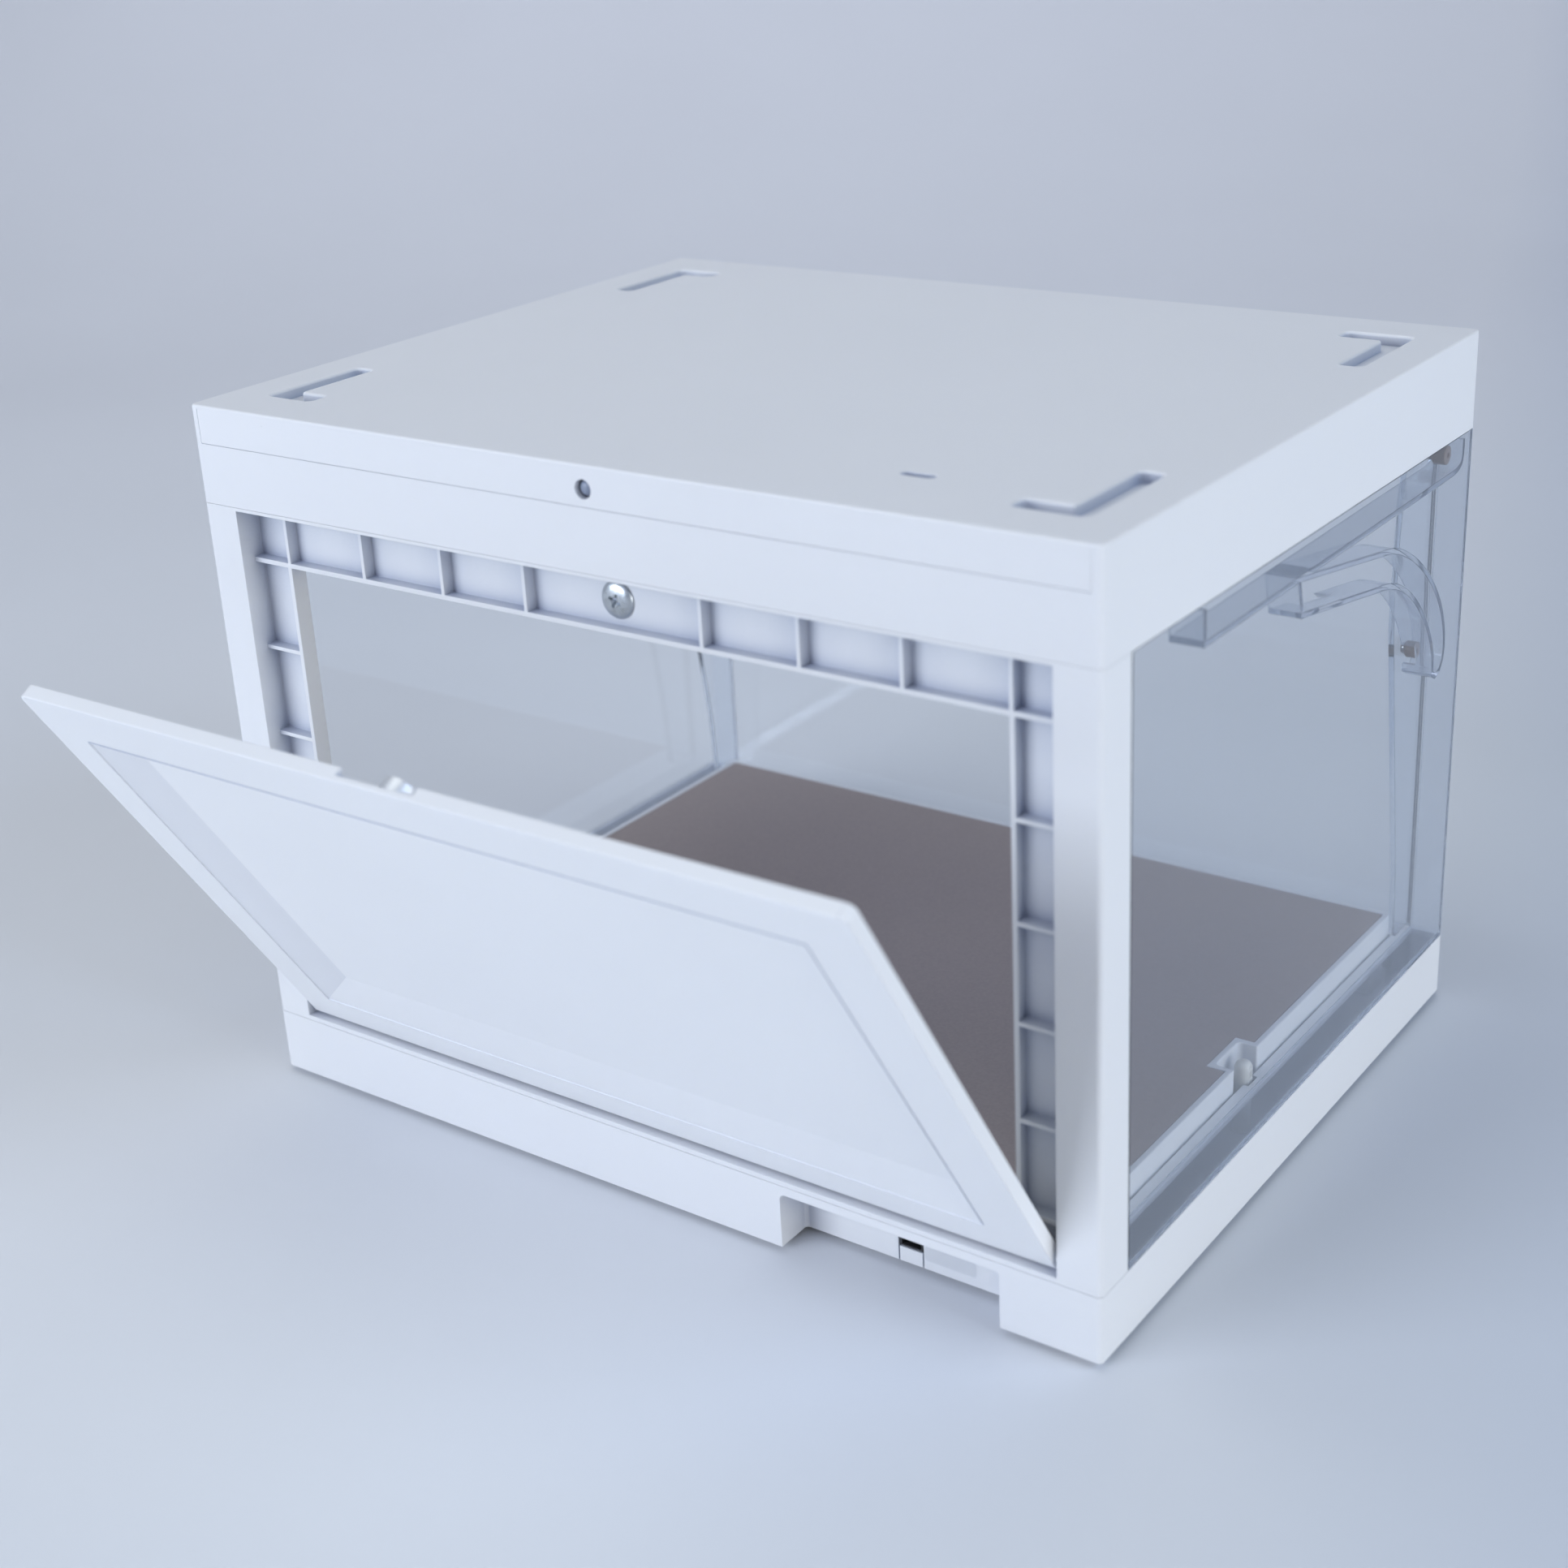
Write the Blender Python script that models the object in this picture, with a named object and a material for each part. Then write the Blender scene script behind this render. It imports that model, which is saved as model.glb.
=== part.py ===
"""Stackable shoe display box: a white moulded base, front frame and lid, clear
end panels, a white drop-front door and a clear up-and-over rear door.

Lengths are millimetres in the box's own corner frame: x from the left side,
y from the front face backwards, z up from the underside of the base. pt()
turns them into metres with the origin at the middle of the underside.
A span is a (low, high) pair along one axis.
"""
import math

import bmesh
import bpy
from mathutils import Matrix, Vector

# ---------------------------------------------------------- shared dimensions
WIDTH, DEPTH, HEIGHT = 360.0, 280.0, 265.0
GAP = 0.3                       # between pieces that rest on each other
OVER = 2.0                      # how far a cutter runs past what it cuts
CORNER_R = 3.0                  # vertical corners of base, frame, lid and panels
WALL = 2.2                      # lid walls and the frame's side returns

BASE_TOP = 24.4
BASE_FLOOR = 2.4
FRAME_Z = (BASE_TOP + GAP, 227.7)
LID_Z = (FRAME_Z[1] + GAP, HEIGHT)

FRAME_RETURN_Y = 17.0           # rear ends of the frame's side returns
POCKET_Y = 5.5                  # front plane of the frame's ribs, behind the door
CHANNEL_Y = 10.0                # bottom of the ribbed channel
DOOR_AXIS = (3.2, 32.4)         # y, z of the trunnions
TRUNNION_R = 1.6
LATCH = (181.0, 218.4)          # x, z of the screw and of the magnet
CABLE_HOLE = (352.0, 8.0)       # x, y of the cable's way up

# Cut-out for the power inlet in the base's front
CUTOUT_X = (239.9, 323.5)
CUTOUT_Y = 14.5
CUTOUT_Z = 21.0
INLET_X = (276.1, 286.0)        # slot in the back of the cut-out
INLET_Z = (5.7, 9.5)

# Guides of the rear door
RAIL_X = (346.5, 358.6)         # the rails' depth on the right-hand panel
UPPER_PIN = (266.6, 221.6)      # y, z
LOWER_PIN = (258.0, 149.8)
LOWER_PIN_TIP = 351.1
PIN_R = 3.3
PIN_NECK = 2.2
REAR_TRAVEL = 190.0             # of the upper pins, towards the front
REAR_TILT = math.radians(85.2)


# -------------------------------------------------------------- span helpers
def shrink(span, inset):
    return span[0] + inset, span[1] - inset


def flipped(span, total=WIDTH):
    """The span on the opposite side of the box."""
    return total - span[1], total - span[0]


def both_sides(span, total=WIDTH):
    return span, flipped(span, total)


def middle(span):
    return (span[0] + span[1]) / 2


# ------------------------------------------------------------ outline helpers
def rect(across, up):
    return [(across[0], up[0]), (across[1], up[0]), (across[1], up[1]), (across[0], up[1])]


def rounded(points, radii, steps=4):
    """The outline with its corners rounded; radii is one number or a list."""
    if not isinstance(radii, (list, tuple)):
        radii = [radii] * len(points)
    out = []
    count = len(points)
    for i, (point, radius) in enumerate(zip(points, radii)):
        corner = Vector(point)
        if radius <= 0:
            out.append(tuple(corner))
            continue
        back = (Vector(points[i - 1]) - corner).normalized()
        ahead = (Vector(points[(i + 1) % count]) - corner).normalized()
        half = back.angle(ahead) / 2
        reach = radius / math.tan(half)
        centre = corner + (back + ahead).normalized() * (radius / math.sin(half))
        start = corner + back * reach - centre
        end = corner + ahead * reach - centre
        turn = math.atan2(start.x * end.y - start.y * end.x, start.dot(end))
        for k in range(steps + 1):
            cos, sin = math.cos(turn * k / steps), math.sin(turn * k / steps)
            out.append((centre.x + start.x * cos - start.y * sin,
                        centre.y + start.x * sin + start.y * cos))
    return out


def strip(points, half):
    """The outline of a rib of half-width half that follows the points."""
    left, right = [], []
    for i, point in enumerate(points):
        point = Vector(point)
        before = (point - Vector(points[i - 1])).normalized() if i else None
        after = (Vector(points[i + 1]) - point).normalized() if i + 1 < len(points) else None
        along = ((before or after) + (after or before)).normalized()
        # Widened at bends, so that the rib keeps its thickness
        reach = half / max(0.5, along.dot(after or before))
        offset = Vector((-along.y, along.x)) * reach
        left.append(tuple(point + offset))
        right.append(tuple(point - offset))
    return left + right[::-1]


def bezier(start, handle_a, handle_b, end, steps):
    """Points along a cubic curve, without its start."""
    out = []
    for k in range(1, steps + 1):
        t = k / steps
        rest = 1 - t
        weights = (rest ** 3, 3 * rest * rest * t, 3 * rest * t * t, t ** 3)
        out.append(tuple(sum(weight * value for weight, value in zip(weights, values))
                         for values in zip(start, handle_a, handle_b, end)))
    return out


# -------------------------------------------------------------- solid helpers
def pt(x, y, z):
    return Vector(((x - WIDTH / 2) / 1000, (y - DEPTH / 2) / 1000, z / 1000))


def on_axis(axis, across, up, along):
    """A point from its distance along an axis and its outline coordinates,
    which are (x, y) for axis z, (y, z) for axis x and (x, z) for axis y."""
    return pt(*{"z": (across, up, along),
                "x": (along, across, up),
                "y": (across, along, up)}[axis])


def to_object(bm):
    bmesh.ops.recalc_face_normals(bm, faces=bm.faces)
    mesh = bpy.data.meshes.new("shape")
    bm.to_mesh(mesh)
    bm.free()
    obj = bpy.data.objects.new("shape", mesh)
    bpy.context.scene.collection.objects.link(obj)
    return obj


def prism(points, axis, span):
    """A closed outline extruded along an axis."""
    bm = bmesh.new()
    face = bm.faces.new([bm.verts.new(on_axis(axis, across, up, span[0]))
                         for across, up in points])
    made = bmesh.ops.extrude_face_region(bm, geom=[face])
    shift = on_axis(axis, 0, 0, span[1]) - on_axis(axis, 0, 0, span[0])
    for item in made["geom"]:
        if isinstance(item, bmesh.types.BMVert):
            item.co += shift
    return to_object(bm)


def box(x_span, y_span, z_span):
    return prism(rect(x_span, y_span), "z", z_span)


def lathe(axis, centre, profile, steps=24):
    """A turned solid: profile is [(position along axis, radius)], ends on the
    axis. centre is the two outline coordinates."""
    bm = bmesh.new()
    rings = []
    for along, radius in profile:
        ring = []
        for k in range(steps if radius else 1):
            turn = 2 * math.pi * k / steps
            ring.append(bm.verts.new(on_axis(axis, centre[0] + radius * math.cos(turn),
                                             centre[1] + radius * math.sin(turn), along)))
        rings.append(ring)
    for lower, upper in zip(rings, rings[1:]):
        for k in range(steps):
            corners = list(dict.fromkeys((
                lower[k % len(lower)], lower[(k + 1) % len(lower)],
                upper[(k + 1) % len(upper)], upper[k % len(upper)])))
            if len(corners) > 2:
                bm.faces.new(corners)
    return to_object(bm)


def rod(axis, centre, radius, span, steps=24):
    low, high = span
    return lathe(axis, centre, [(low, 0), (low, radius), (high, radius), (high, 0)], steps)


def combine(body, operation, *tools):
    """Applies Booleans to body, one tool after another, and drops the tools."""
    for tool in tools:
        mod = body.modifiers.new("boolean", "BOOLEAN")
        mod.operation = operation
        mod.solver = "EXACT"
        mod.object = tool
        graph = bpy.context.evaluated_depsgraph_get()
        mesh = bpy.data.meshes.new_from_object(body.evaluated_get(graph))
        body.modifiers.clear()
        body.data = mesh
        bpy.data.objects.remove(tool, do_unlink=True)


def cut(body, *tools):
    combine(body, "DIFFERENCE", *tools)


def join(body, *tools):
    combine(body, "UNION", *tools)


def finish(obj, name, look, smooth_deg=35):
    """Names the piece, gives it its material and smooths its gentle edges."""
    obj.name = name
    obj.data.name = name
    obj.data.materials.clear()
    obj.data.materials.append(look)
    if smooth_deg:
        obj.data.shade_smooth()
        obj.data.set_sharp_from_angle(angle=math.radians(smooth_deg))


def pivot(name, x, y, z, parent=None):
    """An empty that remembers its own place as "at"."""
    empty = bpy.data.objects.new(name, None)
    bpy.context.scene.collection.objects.link(empty)
    here = pt(x, y, z)
    empty.location = here
    if parent:
        empty.parent = parent
        empty.location = here - Vector(parent["at"])
    empty["at"] = here
    return empty


def hang(obj, empty):
    """Moves the piece's origin to the empty, and parents it there."""
    obj.data.transform(Matrix.Translation(-Vector(empty["at"])))
    obj.parent = empty
    obj.location = (0, 0, 0)


for old in list(bpy.data.objects):
    bpy.data.objects.remove(old, do_unlink=True)


# ----------------------------------------------------------------- materials
def material(name, color, roughness, metallic=0.0, alpha=1.0, transmission=0.0):
    look = bpy.data.materials.new(name)
    look.use_nodes = True
    inputs = look.node_tree.nodes["Principled BSDF"].inputs
    inputs["Base Color"].default_value = (*color, 1)
    inputs["Roughness"].default_value = roughness
    inputs["Metallic"].default_value = metallic
    inputs["Alpha"].default_value = alpha
    inputs["Transmission Weight"].default_value = transmission
    look.diffuse_color = (*color, alpha)
    return look


WHITE = material("white_moulding", color=(0.86, 0.88, 0.9), roughness=0.3)
WHITE_DOOR = material("white_door", color=(0.86, 0.88, 0.9), roughness=0.32)
CLEAR = material("clear_moulding", color=(0.82, 0.88, 0.92), roughness=0.05,
                 alpha=0.3, transmission=0.9)
GREY_MAT = material("grey_mat", color=(0.42, 0.4, 0.39), roughness=0.85)
CREAM = material("cream_peg", color=(0.85, 0.81, 0.72), roughness=0.4)
BROWN = material("brown_pin", color=(0.07, 0.035, 0.025), roughness=0.35)
ZINC = material("zinc_plate", color=(0.68, 0.68, 0.66), roughness=0.28, metallic=1.0)
NICKEL = material("nickel_magnet", color=(0.6, 0.6, 0.6), roughness=0.25, metallic=1.0)
BLACK = material("black_socket", color=(0.02, 0.02, 0.022), roughness=0.4)
DARK_LENS = material("dark_lens", color=(0.03, 0.03, 0.04), roughness=0.1)
BOARD = material("circuit_board", color=(0.05, 0.22, 0.1), roughness=0.45)
LIGHT_BOARD = material("light_board", color=(0.8, 0.8, 0.78), roughness=0.4)
FROST = material("frosted_cover", color=(0.88, 0.9, 0.92), roughness=0.55,
                 alpha=0.7, transmission=0.4)
SHEATH = material("cable_sheath", color=(0.75, 0.75, 0.75), roughness=0.5)
FILM = material("clear_film", color=(0.8, 0.84, 0.88), roughness=0.15,
                alpha=0.4, transmission=0.7)

# ------------------------------------------------- stacking lugs and recesses
LUG_H, SOCKET_H = 2.4, 2.8
LUG_INSET = 0.5                 # of the lugs inside the recesses' outline


def corner_shapes(inset, z_span):
    """An L-shaped solid in each corner of the box."""
    # x, y of the front right-hand one
    outline = [(343.0 - inset, 21.0 + inset), (343.0 - inset, 68.0 - inset),
               (335.4 + inset, 68.0 - inset), (335.4 + inset, 29.4 - inset),
               (318.7 + inset, 29.4 - inset), (318.7 + inset, 21.0 + inset)]
    radii = [3.0 - inset, 2.5, 2.5, 1.5 + inset, 2.5, 2.5]
    shapes = []
    for right in (False, True):
        for rear in (False, True):
            points = [(x if right else WIDTH - x, DEPTH - y if rear else y)
                      for x, y in outline]
            shapes.append(prism(rounded(points, radii, 3), "z", z_span))
    return shapes


# ----------------------------------------------------------------- base tray
BASE_WALL = 2.5
TRAY_OPENING = ((14, WIDTH - 14), (17.6, 272))      # x, y
SLIT_W = 0.9                    # slits beside the spring tab under the inlet
INLET_CUT_Y = (12, 20)          # reaches through the wall and into the floor
PAD_SIDE = 12.0                 # square pads under the platform
PAD_X0 = 19.5
PAD_YS = (20.0, 255.0)
PLATFORM_Z = (13.0, 33.0)

left, right = shrink(CUTOUT_X, -BASE_WALL)
inner_x, inner_y = shrink((0, WIDTH), BASE_WALL), shrink((0, DEPTH), BASE_WALL)
hollow = [(inner_x[0], inner_y[0]),
          (left, inner_y[0]), (left, CUTOUT_Y + BASE_WALL),
          (right, CUTOUT_Y + BASE_WALL), (right, inner_y[0]),
          (inner_x[1], inner_y[0]), (inner_x[1], inner_y[1]), (inner_x[0], inner_y[1])]
ceiling = BASE_TOP - BASE_WALL
through_top = (ceiling - OVER, BASE_TOP + OVER)
slit_z = (-1, 6.5)
tray = prism(rounded(rect((0, WIDTH), (0, DEPTH)), CORNER_R, 5), "z", (0, BASE_TOP))
cut(tray,
    prism(hollow, "z", (BASE_FLOOR, ceiling)),
    box(*TRAY_OPENING, through_top),
    prism(rounded(rect(CUTOUT_X, (-5, CUTOUT_Z)), [0, 0, 1.0, 3.0]), "y", (-5, CUTOUT_Y)),
    box(INLET_X, INLET_CUT_Y, INLET_Z),
    box((INLET_X[0], INLET_X[0] + SLIT_W), INLET_CUT_Y, slit_z),
    box((INLET_X[1] - SLIT_W, INLET_X[1]), INLET_CUT_Y, slit_z),
    rod("z", CABLE_HOLE, 3.0, through_top, 16))
for x_span in both_sides((PAD_X0, PAD_X0 + PAD_SIDE)):
    for y0 in PAD_YS:
        join(tray, box(x_span, (y0, y0 + PAD_SIDE), (2.0, PLATFORM_Z[0] - GAP)))
join(tray, *corner_shapes(LUG_INSET, (-LUG_H, BASE_FLOOR / 2)))
finish(tray, "base_tray", WHITE)

# ----------------------------------------------------- platform, mat and pegs
PLATFORM_X = (19.1, 340.9)
PLATFORM_Y = (18.0, 271.0)
PLATFORM_WALL = 2.2
DECK_Z = (29.4, 31.4)
RIM = 2.4                       # width of the rim around the mat
NOTCH_Y = (131.0, 149.6)
NOTCH_D = 7.0
PEG_X = 20.0


def notched(inset):
    """The platform's outline moved inwards: a notch amid each side edge."""
    x0, x1 = shrink(PLATFORM_X, inset)
    y0, y1 = shrink(PLATFORM_Y, inset)
    notch0, notch1 = shrink(NOTCH_Y, -inset)
    left, right = x0 + NOTCH_D, x1 - NOTCH_D
    return [(x0, y0), (x1, y0), (x1, notch0), (right, notch0), (right, notch1), (x1, notch1),
            (x1, y1), (x0, y1), (x0, notch1), (left, notch1), (left, notch0), (x0, notch0)]


platform = prism(rounded(notched(0), [2.0, 2.0, 0.8] * 4, 3), "z", PLATFORM_Z)
cut(platform,
    prism(notched(PLATFORM_WALL), "z", (PLATFORM_Z[0] - OVER, DECK_Z[0])),
    prism(notched(RIM), "z", (DECK_Z[1], PLATFORM_Z[1] + OVER)))
finish(platform, "floor_platform", WHITE)

mat_pad = prism(rounded(notched(RIM + GAP), 1.0, 2), "z", (DECK_Z[1] + GAP, PLATFORM_Z[1]))
finish(mat_pad, "floor_mat", GREY_MAT)

PEG_PROFILE = [                 # z, radius: a domed peg standing on the base's floor
    (BASE_FLOOR + GAP, 0), (BASE_FLOOR + GAP, 3.2), (28.8, 3.2),
    (30.5, 2.75), (31.7, 1.6), (32.0, 0)]
for side, x in (("left", PEG_X), ("right", WIDTH - PEG_X)):
    peg = lathe("z", (x, middle(NOTCH_Y)), PEG_PROFILE, 16)
    finish(peg, "locating_peg_" + side, CREAM, smooth_deg=40)

# --------------------------------------------------------------- front frame
POCKET_X = (15.5, 344.5)        # pocket that takes the closed door
POCKET_Z = (26.5, 226.0)
FRAME_Y = 12.0                  # rear face of the frame between its returns
OPEN_X = (33.0, 327.0)
OPEN_Z = (43.0, 208.0)
RING = 1.8                      # wall around the opening
RIB = 1.5
RIB_PITCH_X, RIB_PITCH_Z = 36.9, 33.6
SIDE_SLOT_X = (WALL, 13.4)      # upright slot behind the frame's front skin
SIDE_SLOT_Y = 2.5
BOSS_Y = (11.0, 19.0)           # screw boss


def cells(span, rib_centres):
    """The spans left free between ribs."""
    edges = [centre + sign * RIB / 2 for centre in rib_centres for sign in (-1, 1)]
    edges = [span[0]] + edges + [span[1]]
    return zip(edges[::2], edges[1::2])


outline = [(0, 0), (WIDTH, 0), (WIDTH, FRAME_RETURN_Y), (WIDTH - WALL, FRAME_RETURN_Y),
           (WIDTH - WALL, FRAME_Y), (WALL, FRAME_Y), (WALL, FRAME_RETURN_Y),
           (0, FRAME_RETURN_Y)]
front = prism(rounded(outline, [CORNER_R, CORNER_R] + [0] * 6, 5), "z", FRAME_Z)
cut(front,
    box(POCKET_X, (-OVER, POCKET_Y), POCKET_Z),
    box(OPEN_X, (-OVER, FRAME_Y + OVER), OPEN_Z))
# The channel runs around the opening; upright ribs divide it above and below,
# level ribs at the sides. There is no rib in the middle, behind the latch.
channel = (POCKET_Y - OVER, CHANNEL_Y)
for x_span in cells(POCKET_X, [middle(OPEN_X) + RIB_PITCH_X * k for k in range(-4, 5) if k]):
    cut(front,
        box(x_span, channel, (OPEN_Z[1] + RING, POCKET_Z[1])),
        box(x_span, channel, (POCKET_Z[0], OPEN_Z[0] - RING)))
for z_span in cells(OPEN_Z, [middle(OPEN_Z) + RIB_PITCH_Z * (k - 1.5) for k in range(4)]):
    cut(front,
        box((POCKET_X[0], OPEN_X[0] - RING), channel, z_span),
        box((OPEN_X[1] + RING, POCKET_X[1]), channel, z_span))
join(front, rod("y", LATCH, 4.2, BOSS_Y, 20))
for x_span in both_sides(SIDE_SLOT_X):
    cut(front, box(x_span, (SIDE_SLOT_Y, FRAME_RETURN_Y + OVER), shrink(FRAME_Z, -OVER)))
for x_span in both_sides((11, 17)):
    cut(front, rod("x", DOOR_AXIS, TRUNNION_R + GAP, x_span, 16))
cut(front, rod("y", LATCH, 1.75, (CHANNEL_Y - OVER, BOSS_Y[1] + OVER), 12))
finish(front, "front_frame", WHITE)

# --------------------------------------------------------------- latch screw
SCREW_PROFILE = [               # y, radius
    (CHANNEL_Y - 2.1, 0), (CHANNEL_Y - 2.05, 3.4), (CHANNEL_Y - 1.6, 5.2),
    (CHANNEL_Y - 0.9, 6.3), (CHANNEL_Y - GAP, 6.4), (CHANNEL_Y - GAP, 1.45),
    (16.0, 1.45), (17.5, 0)]
CROSS_HALF_L, CROSS_HALF_W = 2.6, 0.6
screw = lathe("y", LATCH, SCREW_PROFILE, 20)
for half_x, half_z in ((CROSS_HALF_W, CROSS_HALF_L), (CROSS_HALF_L, CROSS_HALF_W)):
    cut(screw, box((LATCH[0] - half_x, LATCH[0] + half_x), (5, CHANNEL_Y - 1.0),
                   (LATCH[1] - half_z, LATCH[1] + half_z)))
finish(screw, "latch_screw", ZINC)

# ----------------------------------------------------------------- drop door
DOOR_X = (16.3, 343.7)
DOOR_Z = (27.4, 224.1)
DOOR_T = POCKET_Y - GAP
DOOR_SKIN = 3.4                 # thickness inside the door's rim
DOOR_RIM = 2.0
DOOR_HOLLOW_Z0 = 37.0
DOOR_ANGLE = math.radians(32.0)
DOOR_EDGE_R = 3.0
DOOR_BOSS_Y = (2.6, 7.5)        # cup that holds the magnet
# Shallow recess in the door's face: x, z spans at the face and at its bottom
RECESS_OUTER = ((36.5, 322.5), (46.1, 205.6))
RECESS_INNER = ((57.5, 320.5), (66.4, 203.6))
RECESS_D = 1.8


def door_section():
    """The door's outline in y, z. Its bottom edge ends in a flat that stands
    upright, just in front of the ribs, when the door is open."""
    axis_y, axis_z = DOOR_AXIS
    cos, sin = math.cos(DOOR_ANGLE), math.sin(DOOR_ANGLE)
    flat = DOOR_T - axis_y      # the flat's distance behind the axis
    edge_y, edge_z = DOOR_EDGE_R, DOOR_Z[0] + DOOR_EDGE_R
    turned = (edge_y - axis_y) * cos - (edge_z - axis_z) * sin
    end = 2 * math.pi - math.acos((flat - turned) / DOOR_EDGE_R) - DOOR_ANGLE
    points = []
    for k in range(7):
        turn = math.pi + (end - math.pi) * k / 6
        points.append((edge_y + DOOR_EDGE_R * math.cos(turn),
                       edge_z + DOOR_EDGE_R * math.sin(turn)))
    top = DOOR_Z[1]
    return points + [(DOOR_T, axis_z + (flat * cos - flat) / sin),
                     (DOOR_T, top), (1.2, top), (0.35, top - 0.35), (0, top - 1.2)]


def ramped_recess():
    """The tapered recess, its slopes carried on to 1 mm before the face."""
    bm = bmesh.new()
    loops = []
    for y in (-1.0, RECESS_D):
        x_span, z_span = [[o + (i - o) * y / RECESS_D for o, i in zip(outer, inner)]
                          for outer, inner in zip(RECESS_OUTER, RECESS_INNER)]
        loops.append([bm.verts.new(pt(x, y, z)) for x, z in rect(x_span, z_span)])
        bm.faces.new(loops[-1])
    face, bottom = loops
    for k in range(4):
        bm.faces.new((face[k], face[(k + 1) % 4], bottom[(k + 1) % 4], bottom[k]))
    return to_object(bm)


door = prism(door_section(), "x", DOOR_X)
cut(door,
    ramped_recess(),
    box(shrink(DOOR_X, DOOR_RIM), (DOOR_SKIN, DOOR_T + OVER),
        (DOOR_HOLLOW_Z0, DOOR_Z[1] - DOOR_RIM)),
    # Notch in the rear of the top edge
    box((162.0, 193.0), (2.2, DOOR_T + OVER), (DOOR_Z[1] - 3.0, DOOR_Z[1] + OVER)))
join(door, rod("y", LATCH, 5.0, DOOR_BOSS_Y))
for x_span in both_sides((11.5, 17.5)):
    join(door, rod("x", DOOR_AXIS, TRUNNION_R, x_span, 16))
cut(door, rod("y", LATCH, 4.2, (5.0, DOOR_BOSS_Y[1] + OVER)))
finish(door, "drop_door", WHITE_DOOR)

MAGNET_PROFILE = [              # y, radius
    (5.2, 0), (5.2, 3.7), (5.4, 3.9), (7.0, 3.9), (7.3, 3.6), (7.3, 0)]
magnet = lathe("y", LATCH, MAGNET_PROFILE)
finish(magnet, "door_magnet", NICKEL)

hinge_axis = pivot("drop_door_axis", WIDTH / 2, *DOOR_AXIS)
hang(door, hinge_axis)
hang(magnet, hinge_axis)
hinge_axis.rotation_euler = (DOOR_ANGLE, 0, 0)

# ------------------------------------------------------- lid and front strip
LID_CEILING = 262.5
LID_FRONT_Y = 4.5               # the front wall is thicker behind the strip
LID_STEP_Z = 248.6              # where it thickens
STRIP_X = (3.5, WIDTH - 3.5)
STRIP_Z = (250.7, 263.2)
STRIP_T = 2.0
SENSOR = (177.8, 257.9)         # x, z
SOCKET_PAD_X = (13, 45)         # thicker ceiling under the stacking recesses
SOCKET_PAD_Y = (17, 72)

lid = prism(rounded(rect((0, WIDTH), (0, DEPTH)), CORNER_R, 5), "z", LID_Z)
lid_inner_x = shrink((0, WIDTH), WALL)
cut(lid,
    box(lid_inner_x, shrink((0, DEPTH), WALL), (LID_Z[0] - OVER, LID_STEP_Z)),
    box(lid_inner_x, (LID_FRONT_Y, DEPTH - WALL), (LID_STEP_Z - OVER, LID_CEILING)),
    box(STRIP_X, (-OVER, STRIP_T + GAP), STRIP_Z))
for x_span in both_sides(SOCKET_PAD_X):
    for y_span in both_sides(SOCKET_PAD_Y, DEPTH):
        join(lid, box(x_span, y_span, (260.0, 263.0)))
cut(lid, *corner_shapes(0.0, (HEIGHT - SOCKET_H, HEIGHT + OVER)))
cut(lid,
    # Small blind slot in the top
    prism(rounded(rect((273, 285), (34, 38)), 1.98), "z", (HEIGHT - 1.5, HEIGHT + OVER)),
    rod("y", SENSOR, 3.5, (STRIP_T + GAP - OVER, LID_FRONT_Y + OVER), 20))
finish(lid, "lid", WHITE)

face = prism(rect(shrink(STRIP_X, GAP), shrink(STRIP_Z, GAP)), "y", (0, STRIP_T))
cut(face, rod("y", SENSOR, 3.2, (-OVER, STRIP_T + OVER)))
finish(face, "front_strip", WHITE)

# -------------------------------------------------------- sensor and lighting
LENS_PROFILE = [                # y, radius
    (0.9, 0), (1.1, 1.3), (1.8, 2.4), (3.0, 2.8), (5.0, 2.8), (5.0, 3.1), (6.1, 3.1), (6.1, 0)]
finish(lathe("y", SENSOR, LENS_PROFILE, 20), "sensor_lens", DARK_LENS, smooth_deg=40)
finish(box((162, 194), (6.4, 8.0), (250.5, 262.0)), "sensor_board", BOARD, smooth_deg=None)

LIGHT_TOP = LID_CEILING - GAP
DIFFUSER_X, DIFFUSER_Y, DIFFUSER_Z0 = (58, 302), (21, 39), 254
DIFFUSER_WALL = 1.6
finish(box((60, 300), (24, 36), (LIGHT_TOP - 1.5, LIGHT_TOP)), "led_bar", LIGHT_BOARD,
       smooth_deg=None)
cover = prism(rounded(rect(DIFFUSER_Y, (DIFFUSER_Z0, LIGHT_TOP)), [2, 2, 0, 0], 3),
              "x", DIFFUSER_X)
cut(cover, box(shrink(DIFFUSER_X, DIFFUSER_WALL), shrink(DIFFUSER_Y, DIFFUSER_WALL),
               (DIFFUSER_Z0 + DIFFUSER_WALL, LIGHT_TOP + OVER)))
finish(cover, "led_diffuser", FROST)

# -------------------------------------------------------------------- cables
POWER_PATH = [                  # x, y, z: from the inlet up the corner to the sensor
    (281, 29.5, 7), (287, 36, 7), (320, 37, 6.5), (345, 33, 6.5), (351.5, 18, 6.5),
    (*CABLE_HOLE, 13), (*CABLE_HOLE, 24), (352, 7.6, 120), (352, 8, 226), (348, 8.5, 241),
    (325, 9.5, 246.5), (230, 9.8, 247), (198, 9.8, 248), (188, 9.9, 253)]
LED_PATH = [                    # x, y, z: from the sensor under the diffuser
    (172, 9.4, 256), (173, 13, 257), (176, 17, 252.5), (180, 24, 251.3),
    (184, 33, 251.3), (188, 41, 253), (190, 41.5, 258)]


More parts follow.
